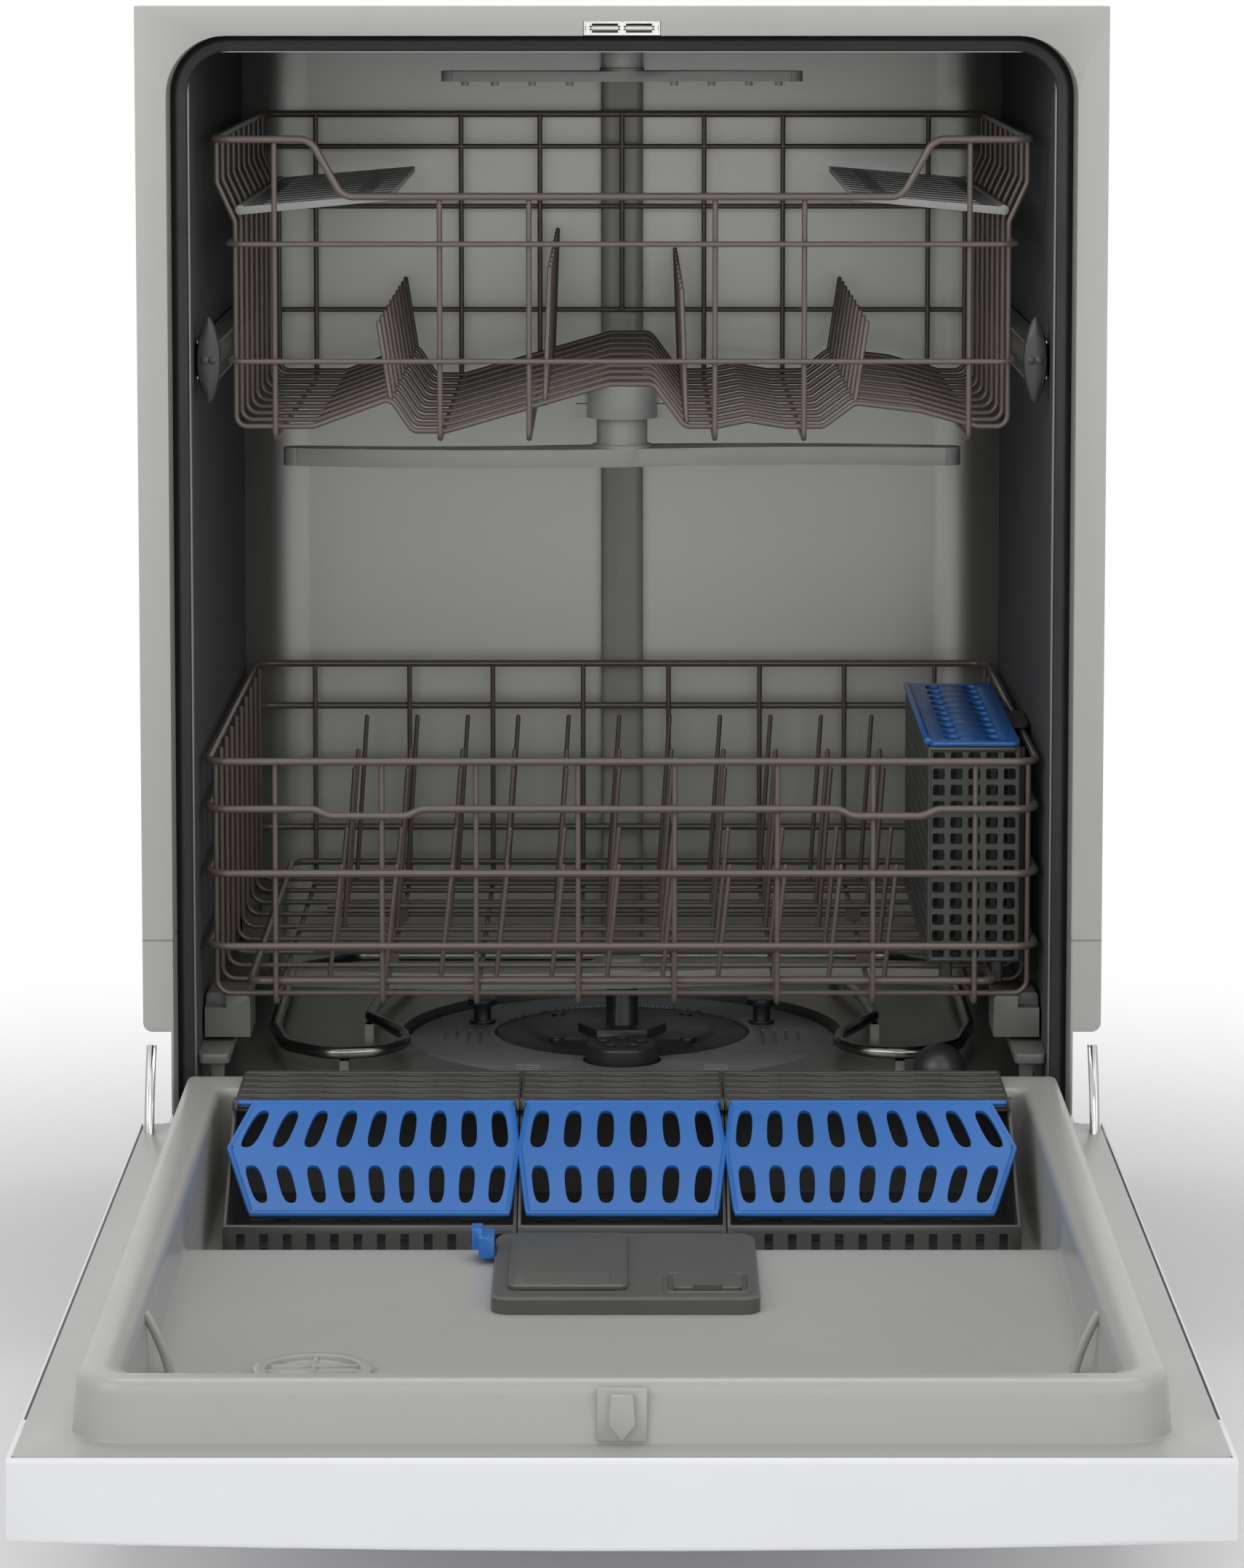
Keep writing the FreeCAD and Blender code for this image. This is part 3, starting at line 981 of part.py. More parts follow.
def console():
    """Control console at the door's free end: shell, hand pocket and key holes."""
    start = DOOR_LENGTH - CONSOLE_LENGTH
    body = door_body(0, DOOR_FLANGE, start, DOOR_LENGTH)
    body = rounded(body, "x", 3.0, lambda m: m.y < along(DOOR_LENGTH) + 1)
    hollow = door_body(CONSOLE_WALL, DOOR_FLANGE + 1, start + CONSOLE_WALL, DOOR_LENGTH - CONSOLE_WALL)
    pan_space = block(-LINER_HALF, LINER_HALF, along(LINER_LENGTH), along(start - 1), PAN_SPACE,
                      DOOR_FLANGE + 1)
    pocket = block(-POCKET_HALF, POCKET_HALF, along(start + 46), along(start + 14), 100, 139)
    wall = block(-POCKET_HALF - 2, POCKET_HALF + 2, along(start + 48), along(start + 12),
                 face_height(0) + 1, 141)
    seat = block(-LINER_HALF - 25, LINER_HALF + 25, along(DOOR_LENGTH - 3), along(start - 1),
                 DOOR_FLANGE - SHEET, DOOR_FLANGE + 1)
    holes = [disc(x, along(KEY_ALONG), 100, 125, BUTTON_RADIUS + RUN_GAP) for x in KEY_PLACES]
    return [without(fused([body.cut(hollow), wall]), [pocket, seat, pan_space] + holes)]


def key(x):
    """Round console key, which moves into the door when pressed."""
    low = face_height(x) - 0.4
    return [fused([disc(x, along(KEY_ALONG), low, low + 7, BUTTON_RADIUS),
                   disc(x, along(KEY_ALONG), low + 4.6, low + 7, BUTTON_RADIUS + 2)])]


def recess_outline(offset):
    """Side outline of the inner door's recess, as Y and Z: deep niche, ramp and shallow floor."""
    floor = NICHE_FLOOR - offset
    return [(along(NICHE_START - offset), LINER_TOP + 1 - offset / 2), (along(NICHE_START - offset), floor),
            (along(NICHE_END - 32 + offset), floor), (along(NICHE_END + offset), SHALLOW_START_Z - offset),
            (along(RECESS_END + offset), SHALLOW_END_Z - offset),
            (along(RECESS_END + offset), LINER_TOP + 1 - offset / 2)]


def door_liner():
    """Inner door: flange, raised rim and the recess with its niche, guide nubs and hinge-side lip."""
    flange = block(-DOOR_HALF + 2.5, DOOR_HALF - 2.5, along(DOOR_LENGTH - 3.5), along(-DOOR_TAIL + 2),
                   DOOR_FLANGE - SHEET, DOOR_FLANGE)
    flange = flange.cut(block(-LINER_HALF + 3, LINER_HALF - 3, along(LINER_LENGTH - 3), along(-DOOR_TAIL + 5),
                              DOOR_FLANGE - 5, DOOR_FLANGE + 5))
    rim = block(-LINER_HALF, LINER_HALF, along(LINER_LENGTH), along(-DOOR_TAIL + 2), DOOR_FLANGE - SHEET,
                LINER_TOP)
    rim = rounded(rim, "z", LINER_RADIUS, lambda m: m.y < along(LINER_LENGTH) + 1)
    wall = LINER_WALL
    under = block(-LINER_HALF + wall, LINER_HALF - wall, along(LINER_LENGTH - wall),
                  along(-DOOR_TAIL + 2 + wall), DOOR_FLANGE - SHEET - 1, LINER_TOP - wall)
    under = rounded(under, "z", LINER_RADIUS - wall, lambda m: m.y < along(LINER_LENGTH - wall) + 1)
    recess = prism(recess_outline(0), "x", -RECESS_HALF, RECESS_HALF)
    pan = prism(recess_outline(wall), "x", -RECESS_HALF - wall, RECESS_HALF + wall)
    pan = pan.common(block(-HALF, HALF, along(DOOR_LENGTH), along(-DOOR_TAIL), 0, LINER_TOP))
    lip = block(-RECESS_HALF, RECESS_HALF, along(-DOOR_TAIL + 8), along(-DOOR_TAIL + 2),
                LINER_TOP - 1, LINER_TOP + 2)
    nub_y = along(NICHE_END + 230)
    nub = prism([(RECESS_HALF + 0.5, SHALLOW_END_Z), (RECESS_HALF - 14, SHALLOW_END_Z),
                 (RECESS_HALF + 0.5, LINER_TOP - 3)], "y", nub_y - 3, nub_y + 3)
    shell = fused([flange, rim.cut(under), pan, lip]).cut(recess)
    vent_hole = disc(-161, along(545), 130, 170, 29)
    latch_hole = block(-11, 11, along(LINER_LENGTH + 1), along(LINER_LENGTH - 3), DOOR_FLANGE + 4,
                       LINER_TOP - 5)
    return [without(fused([shell, nub, mirrored(nub)]), [vent_hole, latch_hole] + hinge_slots())]


def door_latch():
    """Latch plate on the inner door's far face, with its pointed plug."""
    y = along(LINER_LENGTH)
    plate = block(-12.5, 12.5, y - 1.8, y - 0.02, DOOR_FLANGE + 2, LINER_TOP - 3)
    stem = block(-10, 10, y - 0.5, y + 6, DOOR_FLANGE + 5, LINER_TOP - 6)
    plug = prism([(0, DOOR_FLANGE + 3), (6.5, DOOR_FLANGE + 11), (5.5, LINER_TOP - 6), (-5.5, LINER_TOP - 6),
                  (-6.5, DOOR_FLANGE + 11)], "y", y - 5, y - 1)
    return [fused([plate, stem, plug])]


def vent():
    """Round vent in the recess floor: ring, cross ribs and cap."""
    slope = (SHALLOW_START_Z - SHALLOW_END_Z) / (RECESS_END - NICHE_END)
    z = SHALLOW_START_Z - slope * (545 - NICHE_END)
    x, y = -161, along(545)
    ring = disc(x, y, z - 4, z + 3.5, 31).cut(disc(x, y, z - 5, z + 5, 25))
    step = disc(x, y, z - 6, z + 1.5, 32).cut(disc(x, y, z - 7, z + 2, 28.8))
    ribs = [block(x - 26, x + 26, y + k * 11 - 1.2, y + k * 11 + 1.2, z - 3, z + 2) for k in (-1, 0, 1)]
    ribs.append(block(x - 1.2, x + 1.2, y - 26, y + 26, z - 3, z + 2))
    return [fused([ring.cut(step)] + ribs)]


def hinge_arms():
    """Hinge arms on the door's sides, each with a curved tail that rises behind the pivot."""
    x0 = HINGE_X + 2.5 + 1.0
    eye = rod((x0, PIVOT_Y, PIVOT_HEIGHT), (x0 + 2.5, PIVOT_Y, PIVOT_HEIGHT), 11)
    strap = block(x0, x0 + 2.5, along(120), along(4), PIVOT_HEIGHT - 9, PIVOT_HEIGHT + 9)
    steps = spread(0.0, 1.0, 9)
    back = [(PIVOT_Y + 1 + 24 * t * t, PIVOT_HEIGHT + 8 + 66 * t) for t in steps]
    near = [(PIVOT_Y - 13 + 30 * t * t, PIVOT_HEIGHT + 8 + 66 * t) for t in steps]
    quadrant = prism([(PIVOT_Y - 9, PIVOT_HEIGHT)] + near + back[::-1] + [(PIVOT_Y + 5, PIVOT_HEIGHT)], "x",
                     x0, x0 + 2.5)
    rivets = [rod((x0 + 2, along(u), PIVOT_HEIGHT), (DOOR_HALF - DOOR_SKIN - 0.05, along(u), PIVOT_HEIGHT), 5)
              for u in (60, 105)]
    bore = rod((x0 - 1, PIVOT_Y, PIVOT_HEIGHT), (x0 + 4, PIVOT_Y, PIVOT_HEIGHT), HINGE_PIN_RADIUS + 0.06)
    return both_sides([fused([eye, strap, quadrant] + rivets).cut(bore)])


# ---------------------------------------------------------------- door baskets and dispenser
def basket_outline():
    """Side outline of a door basket, as Y and Z."""
    far, low = FRONT - BASKET_FAR, NICHE_FLOOR + RUN_GAP
    ridge, toe = FRONT - BASKET_RIDGE, FRONT - BASKET_TOE
    return [(far, BASKET_TOP), (far, low), (toe, low), (toe, 145), (ridge, BASKET_TOP - 2.5),
            (ridge + 3, BASKET_TOP)]


def one_basket(x0, x1):
    """Cutlery basket in the niche: slotted walls, sloping open face and its share of the grille."""
    wall = BASKET_WALL
    outer = prism(basket_outline(), "x", x0, x1)
    far, low, toe, ridge = FRONT - BASKET_FAR, NICHE_FLOOR + RUN_GAP, FRONT - BASKET_TOE, FRONT - BASKET_RIDGE
    inner = prism([(far - wall, BASKET_TOP - wall), (far - wall, low + wall), (toe + wall, low + wall),
                   (toe + wall, 190), (ridge, 260), (ridge, BASKET_TOP - wall)], "x", x0 + wall, x1 - wall)
    mouth = prism([(ridge - 4, 193), (toe + wall, 145), (toe + wall, 220), (ridge - 4, 220)], "x",
                  x0 + wall, x1 - wall)
    shell = without(outer, [inner, mouth])
    panel = block(x0, x1, ridge + 3, FRONT - 20, BASKET_TOP - 2, BASKET_TOP)
    count = max(3, int((x1 - x0) // 38))
    slot_x = spread(x0 + 10, x1 - 10 - 26, count)
    grille = [block(x, x + 26, y, y + 5, BASKET_TOP - 6, BASKET_TOP + 2)
              for x in slot_x for y in spread(FRONT - 114, FRONT - 34, 6)]
    front_slots = [block(x, x + 5, toe - 1, toe + 4, low + 3, 141)
                   for x in spread(x0 + 8, x1 - 13, count * 3)]
    floor_slots = [block(x, x + 24, y, y + 8, low - 1, low + wall + 1)
                   for x in slot_x for y in spread(toe + 14, far - 30, 6)]
    ears = [block(x, x + 3, ridge - 4, ridge + 4, BASKET_TOP - 1, BASKET_TOP + 5.5) for x in (x0, x1 - 3)]
    bore = rod((x0 - 1, LID_PIVOT_Y, LID_PIVOT_Z), (x1 + 1, LID_PIVOT_Y, LID_PIVOT_Z), 1.3)
    return without(fused([shell, panel] + ears), grille + front_slots + floor_slots + [bore])


def door_baskets():
    """Three cutlery baskets side by side in the door's niche."""
    return [one_basket(x0, x1) for x0, x1 in BASKET_SPANS]


def basket_lid(span):
    """Slotted lid of a door basket, hinged along its upper edge."""
    x0, x1 = span[0] + 3.6, span[1] - 3.6
    y1, y0 = LID_PIVOT_Y - 3.0, LID_PIVOT_Y - LID_LENGTH
    z = LID_PIVOT_Z - LID_THICK - 0.6
    corner = 14.0
    outline = [(x0, y1), (x0, y0 + corner), (x0 + corner, y0), (x1 - corner, y0), (x1, y0 + corner), (x1, y1)]
    plate = prism(outline, "z", z, z + LID_THICK)
    count = int((x1 - x0 - 18) // 18.5)
    xs = spread(x0 + 13, x1 - 13, count)
    slots = [capsule(x, y0 + 62, 8, 4.5, z - 1, z + 5) for x in xs]
    slots += [capsule(x, y0 + 26, 8, 4.5, z - 1, z + 5) for x in xs]
    barrel = rod((x0, LID_PIVOT_Y, LID_PIVOT_Z), (x1, LID_PIVOT_Y, LID_PIVOT_Z), 1.8)
    pintle = rod((x0 - 3, LID_PIVOT_Y, LID_PIVOT_Z), (x1 + 3, LID_PIVOT_Y, LID_PIVOT_Z), 1.2)
    strips = [block(x, x + 12, y1 - 1, LID_PIVOT_Y, z, z + LID_THICK) for x in (x0 + 4, x1 - 16)]
    lid = fused([without(plate, slots), barrel, pintle] + strips)
    return [turned(lid, LID_PIVOT_Y, LID_PIVOT_Z, LID_SLOPE)]


def recess_height(distance):
    """Height of the recess's shallow floor at a distance from the hinge axis."""
    share = (distance - NICHE_END) / (RECESS_END - NICHE_END)
    return SHALLOW_START_Z + (SHALLOW_END_Z - SHALLOW_START_Z) * share


def dispenser():
    """Detergent and rinse-aid dispenser: body on the recess floor, with cup, filler hole and guides."""
    x0, x1, near, far = DISPENSER_LEFT, DISPENSER_RIGHT, along(DISPENSER_NEAR), along(DISPENSER_FAR)
    floor = [(far, DISPENSER_TOP - 14), (along(NICHE_END), SHALLOW_START_Z + 0.05),
             (near, recess_height(DISPENSER_NEAR) + 0.05), (near, DISPENSER_TOP), (far, DISPENSER_TOP)]
    body = prism(floor, "x", x0, x1)
    cup = block(-57, -2, along(412), along(322), DISPENSER_TOP - 12, DISPENSER_TOP + 1)
    filler = disc(46, along(417), DISPENSER_TOP - 10, DISPENSER_TOP + 1, 9)
    top = DISPENSER_TOP + DISPENSER_LID_THICK + 0.4
    guides = [block(a, b, near, far, DISPENSER_TOP, top) for a, b in ((x0, -62.5), (3.5, 26.4), (66.6, x1))]
    guides.append(block(26, 67, along(396), far, DISPENSER_TOP, top))
    guides.append(block(-63, 4, near, along(429), DISPENSER_TOP, top))
    return [without(fused([body] + guides), [cup, filler])]


def detergent_lid():
    """Sliding lid over the detergent cup with a ribbed grip."""
    z = DISPENSER_TOP + 0.3
    plate = block(-62, 3, along(427), along(312), z, z + DISPENSER_LID_THICK)
    ribs = [block(-50, -8, along(418 - k * 5), along(416 - k * 5), z + 3, z + DISPENSER_LID_THICK + 0.9)
            for k in range(4)]
    return [fused([plate] + ribs)]


def rinse_lid():
    """Flip lid over the rinse-aid filler, hinged along its far edge."""
    z = DISPENSER_TOP + 0.3
    plate = block(26.9, 66.1, along(430), along(RINSE_PIVOT + 1.2), z, z + DISPENSER_LID_THICK - 0.5)
    barrel = rod((28, along(RINSE_PIVOT), z + 1.9), (65, along(RINSE_PIVOT), z + 1.9), 1.8)
    clip = block(38, 54, along(431), along(428), z + 1, z + DISPENSER_LID_THICK + 0.6)
    return [fused([plate, barrel, clip])]


def dispenser_lever():
    """Small catch lever on the dispenser's left side."""
    x0 = DISPENSER_LEFT - 9
    low = recess_height(DISPENSER_FAR + 20)
    foot = block(x0, DISPENSER_LEFT - RUN_GAP, along(348), along(326), low + 2, low + 14)
    grip = block(x0 - 4, x0 + 2, along(344), along(330), low + 6, low + 18)
    return [fused([foot, grip])]


FOLD_ROWS = fold_tines()

NODES = {
    "tub": tub(), "rack_tracks": tracks(), "tub_frame": tub_frame(), "tub_gasket": gasket(),
    "latch_strike": latch_strike(), "base_frame": base_frame(), "levelling_feet": levelling_feet(),
    "kick_plate": kick_plate(), "hinge_brackets": hinge_brackets(), "door_springs": door_springs(),
    "sump": sump(), "wash_pump": wash_pump(), "drain_pump": drain_pump(), "inlet_valve": inlet_valve(),
    "junction_box": junction_box(), "worktop_brackets": worktop_brackets(), "sound_blanket": sound_blanket(),
    "supply_duct": supply_duct(), "lower_spray_arm": lower_spray_arm(), "mid_spray_arm": mid_spray_arm(),
    "top_spray_arm": top_spray_arm(), "heating_element": heater(), "filter_wings": filter_wings(),
    "sump_cover": sump_cover() + filter_knobs(), "filter_cup": filter_cup(),
    "float_dome": float_dome(), "upper_rack": upper_rack(), "cup_shelf_left": cup_shelf_left(),
    "cup_shelf_right": cup_shelf_right(), "mid_feed": mid_feed(), "rack_rails": rack_rails(),
    "rail_caps": rail_caps(), "rack_wheels_front": rack_wheels(CARRIER_PLACES[0]),
    "rack_wheels_rear": rack_wheels(CARRIER_PLACES[1]), "wall_rollers_front": wall_rollers(ROLLER_PLACES[0]),
    "wall_rollers_rear": wall_rollers(ROLLER_PLACES[1]), "lower_rack": lower_rack(),
    "fold_tines_front": FOLD_ROWS[0], "fold_tines_rear": FOLD_ROWS[1], "wheel_housings": wheel_housings(),
    "lower_wheels_front": lower_wheels(WHEEL_PLACES[0]), "lower_wheels_rear": lower_wheels(WHEEL_PLACES[1]),
    "cutlery_basket": cutlery_basket(), "cutlery_lid": cutlery_lid(), "outer_panel": outer_panel(),
    "console": console(), "start_key": key(KEY_PLACES[0]), "cycle_key": key(KEY_PLACES[1]),
    "door_liner": door_liner(),
    "door_latch": door_latch(), "door_vent": vent(), "hinge_arms": hinge_arms(),
    "door_baskets": door_baskets(), "dispenser": dispenser(), "detergent_lid": detergent_lid(),
    "rinse_lid": rinse_lid(), "dispenser_lever": dispenser_lever(),
    "basket_lid_left": basket_lid(BASKET_SPANS[0]), "basket_lid_middle": basket_lid(BASKET_SPANS[1]),
    "basket_lid_right": basket_lid(BASKET_SPANS[2]),
}

os.makedirs("parts", exist_ok=True)
for name, solids in NODES.items():
    shape = solids[0] if len(solids) == 1 else Part.makeCompound(solids)
    shape.exportStep("parts/%s.step" % name)
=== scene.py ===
"""Finishes for a built-in dishwasher: materials on its CAD parts, and the pieces that need finer surfaces."""

import math

import bmesh
import bpy
import numpy as np
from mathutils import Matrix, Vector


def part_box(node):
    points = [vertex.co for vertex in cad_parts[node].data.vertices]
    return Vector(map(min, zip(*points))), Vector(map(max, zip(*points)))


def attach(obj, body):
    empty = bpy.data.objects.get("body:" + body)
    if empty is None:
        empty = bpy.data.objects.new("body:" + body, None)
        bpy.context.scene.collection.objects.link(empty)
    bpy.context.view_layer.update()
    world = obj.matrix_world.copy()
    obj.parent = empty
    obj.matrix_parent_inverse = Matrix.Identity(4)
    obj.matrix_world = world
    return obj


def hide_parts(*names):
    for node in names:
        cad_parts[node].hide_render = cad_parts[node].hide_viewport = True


bl_info = {
    "name": "Dishwasher finishes",
    "version": (1, 0, 0),
    "blender": (4, 5, 0),
    "location": "View3D > Sidebar > Dishwasher",
    "description": "Dresses the packed dishwasher with its finishes and fine pieces",
    "category": "Object",
}

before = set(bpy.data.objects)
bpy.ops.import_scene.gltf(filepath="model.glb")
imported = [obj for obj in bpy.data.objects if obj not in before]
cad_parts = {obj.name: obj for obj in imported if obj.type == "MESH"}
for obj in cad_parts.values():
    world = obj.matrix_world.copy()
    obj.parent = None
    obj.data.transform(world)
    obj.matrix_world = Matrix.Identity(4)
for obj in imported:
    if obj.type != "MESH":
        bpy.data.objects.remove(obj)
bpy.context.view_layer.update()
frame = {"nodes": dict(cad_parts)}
MM = 0.001
TURN = 2 * math.pi
LENS = 122.07                   # focal length and sensor width of the view, in millimetres
SENSOR = 36.0
VIEW_SHIFT = -0.2
VIEW_BACK = 3.278               # distance of the view in front of the front frame, in metres
VIEW_HEIGHT = 0.9035
VIEW_TILT = 5.8                 # degrees below level


# ------------------------------------------------------------ settings
def colour(name, code, note):
    """Colour setting from a hexadecimal sRGB code."""
    parts = [int(code[i:i + 2], 16) / 255 for i in (0, 2, 4)]
    linear = [c / 12.92 if c <= 0.04045 else ((c + 0.055) / 1.055) ** 2.4 for c in parts]
    return bpy.props.FloatVectorProperty(name=name, description=note, default=linear, size=3, min=0, max=1,
                                         subtype="COLOR")


def length(name, millimetres, note):
    """Length setting, given in millimetres."""
    return bpy.props.FloatProperty(name=name, description=note, default=millimetres * MM, min=0,
                                   unit="LENGTH", precision=5)


class DishwasherColours(bpy.types.PropertyGroup):
    """Colours of the finishes."""
    frame: colour("Front frame", "ABABA8", "Satin paint of the front frame")
    tub: colour("Tub", "4C4B47", "Brushed stainless steel of the wash tub")
    rack: colour("Racks", "665C55", "Nylon coating of the rack wires")
    blue: colour("Blue parts", "2668B4", "Basket lids and dispenser lever")
    liner: colour("Inner door", "A4A4A1", "Moulded inner door")
    white: colour("Outer door", "DFE0E3", "Enamel of the outer door and console")
    basket: colour("Baskets", "434341", "Door baskets and cutlery basket")
    dispenser: colour("Dispenser", "4A4A48", "Detergent dispenser and its lids")
    arms: colour("Spray arms", "A3A3A1", "Spray arms, shelves and small mouldings")
    housing: colour("Wheel housings", "757573", "Wheel housings and ledges of the lower rack")
    cap: colour("Rail caps", "3C3C3B", "Caps and wheels of the rack rails")
    duct: colour("Water duct", "B4B4B1", "Riser on the tub's back wall")
    mesh: colour("Filter mesh", "9B9B9E", "Fine filter wings")
    black: colour("Sump cover", "343337", "Sump cover, knobs and filter cup")
    rubber: colour("Seal", "242423", "Door seal")
    steel: colour("Plated steel", "B9B9B7", "Hinges, rails and base")
    heater: colour("Heater", "8C8A87", "Sheath of the rod heater")
    felt: colour("Sound blanket", "34332F", "Felt round the tub")
    pump: colour("Pumps", "55565A", "Pump and sump mouldings")


class DishwasherSizes(bpy.types.PropertyGroup):
    """Sizes of the fine pieces."""
    edge_moulding: length("Moulding edge", 0.6, "Rounding of moulded parts' edges")
    edge_sheet: length("Sheet edge", 0.35, "Rounding of sheet metal edges")
    brush_pitch: length("Brush pitch", 0.6, "Spacing of the brushed lines in the tub")
    spring_wire: length("Spring wire", 2.0, "Wire thickness of the door springs")
    quilt: length("Quilting", 3.0, "Depth between the sound blanket's quilted lines")
    hole_pitch: length("Mesh pitch", 1.5, "Spacing of the fine filter's holes")


def colours():
    return bpy.context.scene.dishwasher_colours


def sizes():
    return bpy.context.scene.dishwasher_sizes


# ------------------------------------------------------------ surfaces
def grid(points, round_u=False, round_v=False, caps=False):
    """Quads over an array of points (rows, columns, 3); a round direction closes on its first line."""
    rows, columns = points.shape[:2]
    index = np.arange(rows * columns).reshape(rows, columns)
    wide = np.vstack([index, index[:1]]) if round_u else index
    wide = np.hstack([wide, wide[:, :1]]) if round_v else wide
    quads = np.stack([wide[:-1, :-1], wide[1:, :-1], wide[1:, 1:], wide[:-1, 1:]], -1).reshape(-1, 4).tolist()
    if caps:
        quads += [index[0].tolist(), index[-1][::-1].tolist()]
    return points.reshape(-1, 3), quads


def carried(path, profile, up, closed=False):
    """Profile (side, up) carried along a path: path point + side * (tangent x up) + height * up."""
    path = np.asarray(path, float)
    ahead = np.roll(path, -1, 0) - np.roll(path, 1, 0)
    if not closed:
        ahead[0], ahead[-1] = path[1] - path[0], path[-1] - path[-2]
    tangent = ahead / np.linalg.norm(ahead, axis=1, keepdims=True)
    high = np.broadcast_to(np.asarray(up, float), path.shape)
    side = np.cross(tangent, high)
    side = side / np.linalg.norm(side, axis=1, keepdims=True)
    high = np.cross(side, tangent)
    points = (path[:, None] + profile[None, :, :1] * side[:, None] + profile[None, :, 1:] * high[:, None])
    return grid(points, round_u=closed, round_v=True, caps=not closed)


def circle(radius, count=12, squash=1.0):
    """Round profile: radius times cosine and sine, the second squashed."""
    angle = np.arange(count) * TURN / count
    return np.stack([radius * np.cos(angle), radius * squash * np.sin(angle)], 1)


def turned(profile, centre, axis="z", count=32):
    """Profile (radius, height) turned about an axis through a centre, with closed ends."""
    profile = np.asarray(profile, float)
    angle = np.arange(count) * TURN / count
    ring = np.stack([np.cos(angle), np.sin(angle)], 1)
    points = np.empty((len(profile), count, 3))
    first, second, third = {"z": (0, 1, 2), "x": (1, 2, 0), "y": (2, 0, 1)}[axis]
    points[..., first] = profile[:, :1] * ring[:, 0]
    points[..., second] = profile[:, :1] * ring[:, 1]
    points[..., third] = profile[:, 1:]
    return grid(points + np.asarray(centre, float), round_v=True, caps=True)


def helix(centre, radius, start, end, turns, per_turn=20, axis=1):
    """Points on a helix: radius times cosine and sine of the turn, rising evenly along an axis."""
    step = np.linspace(0, 1, int(turns * per_turn) + 1)
    angle = TURN * turns * step
    out = np.stack([radius * np.cos(angle), radius * np.sin(angle)], 1)
    points = np.empty((len(step), 3))
    others = [i for i in range(3) if i != axis]
    points[:, axis] = start + (end - start) * step
    points[:, others] = out + np.asarray(centre, float)
    radial = np.zeros_like(points)
    radial[:, others] = out / radius
    return points, radial


def rounded_plan(low, high, radius, count=5, far_radius=None, steps=1):
    """Plan of a box with round corners: quarter circles joined by straight sides cut into even steps."""
    angle = np.linspace(0, TURN / 4, count)
    far = radius if far_radius is None else far_radius
    centres = [(high[0] - far, high[1] - far, far), (low[0] + far, high[1] - far, far),
               (low[0] + radius, low[1] + radius, radius), (high[0] - radius, low[1] + radius, radius)]
    plan = np.concatenate([np.stack([cx + r * np.cos(angle + k * TURN / 4),
                                     cy + r * np.sin(angle + k * TURN / 4)], 1)
                           for k, (cx, cy, r) in enumerate(centres)])
    closed = np.vstack([plan, plan[:1]])
    cuts = np.concatenate([np.linspace(i, i + 1, steps if i % count == count - 1 else 1, endpoint=False)
                           for i in range(len(plan))])
    return np.column_stack([np.interp(cuts, np.arange(len(closed)), closed[:, i]) for i in (0, 1)])


def stacked(layers, caps=True):
    """Skin through layers, each a plan and its height, one number or one for each point, with capped ends."""
    rings = [np.column_stack([plan, np.broadcast_to(height, len(plan))]) for plan, height in layers]
    return grid(np.array(rings), round_v=True, caps=caps)


def pierced(place, across, down, hole, thick, power=4.0):
    """Plate of cells, each a ring: its square outline drawn in to a rounded hole, through it and back below.

    The hole is a superellipse. place(u, v, w) gives the points, with u and v from 0 to 1 over the plate.
    """
    angle = np.arange(16) * TURN / 16
    ray = np.stack([np.cos(angle), np.sin(angle)], 1)
    square = ray / np.abs(ray).max(1, keepdims=True) / 2
    opening = np.sign(ray) * np.abs(ray) ** (2 / power) * hole
    rings = np.stack([square, opening, opening, square])
    level = np.array([0.5, 0.5, -0.5, -0.5]) * thick
    centres = np.stack(np.meshgrid(np.arange(across) + 0.5, np.arange(down) + 0.5, indexing="ij"), -1)
    spots = (centres.reshape(-1, 1, 1, 2) + rings[None]) / (across, down)
    points = place(spots[..., 0], spots[..., 1], np.broadcast_to(level[None, :, None], spots.shape[:3]))
    edge = np.linspace(0, 1, 24, endpoint=False)
    none, full = np.zeros_like(edge), np.ones_like(edge)
    round_u = np.concatenate([edge, full, 1 - edge, none])
    round_v = np.concatenate([none, edge, full, 1 - edge])
    border = place(round_u, round_v, np.zeros_like(round_u))
    half = np.array(0.5)
    up = place(half, half, np.array(1.0)) - place(half, half, np.array(0.0))
    bead = carried(border, circle(thick * 0.85, 8), up, True)
    return [grid(cell, round_v=True) for cell in points] + [bead]


def piece(name, parts, material, body, stands_for=(), smooth=True):
    """Object from (points, faces) parts, with faces outwards, riding on a body."""
    points, faces, offset = [], [], 0
    for part_points, part_faces in parts:
        points.append(part_points)
        faces += [[i + offset for i in face] for face in part_faces]
        offset += len(part_points)
    mesh = bpy.data.meshes.new(name)
    mesh.from_pydata(np.concatenate(points).tolist(), [], faces)
    work = bmesh.new()
    work.from_mesh(mesh)
    bmesh.ops.remove_doubles(work, verts=work.verts, dist=0.000002)
    bmesh.ops.recalc_face_normals(work, faces=work.faces)
    work.to_mesh(mesh)
    work.free()
    if smooth:
        mesh.shade_smooth()
        mesh.set_sharp_from_angle(angle=math.radians(38))
    mesh.materials.append(material)
    made = bpy.data.objects.new(name, mesh)
    bpy.context.scene.collection.objects.link(made)
    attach(made, body)
    if stands_for:
        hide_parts(*stands_for)
    return made


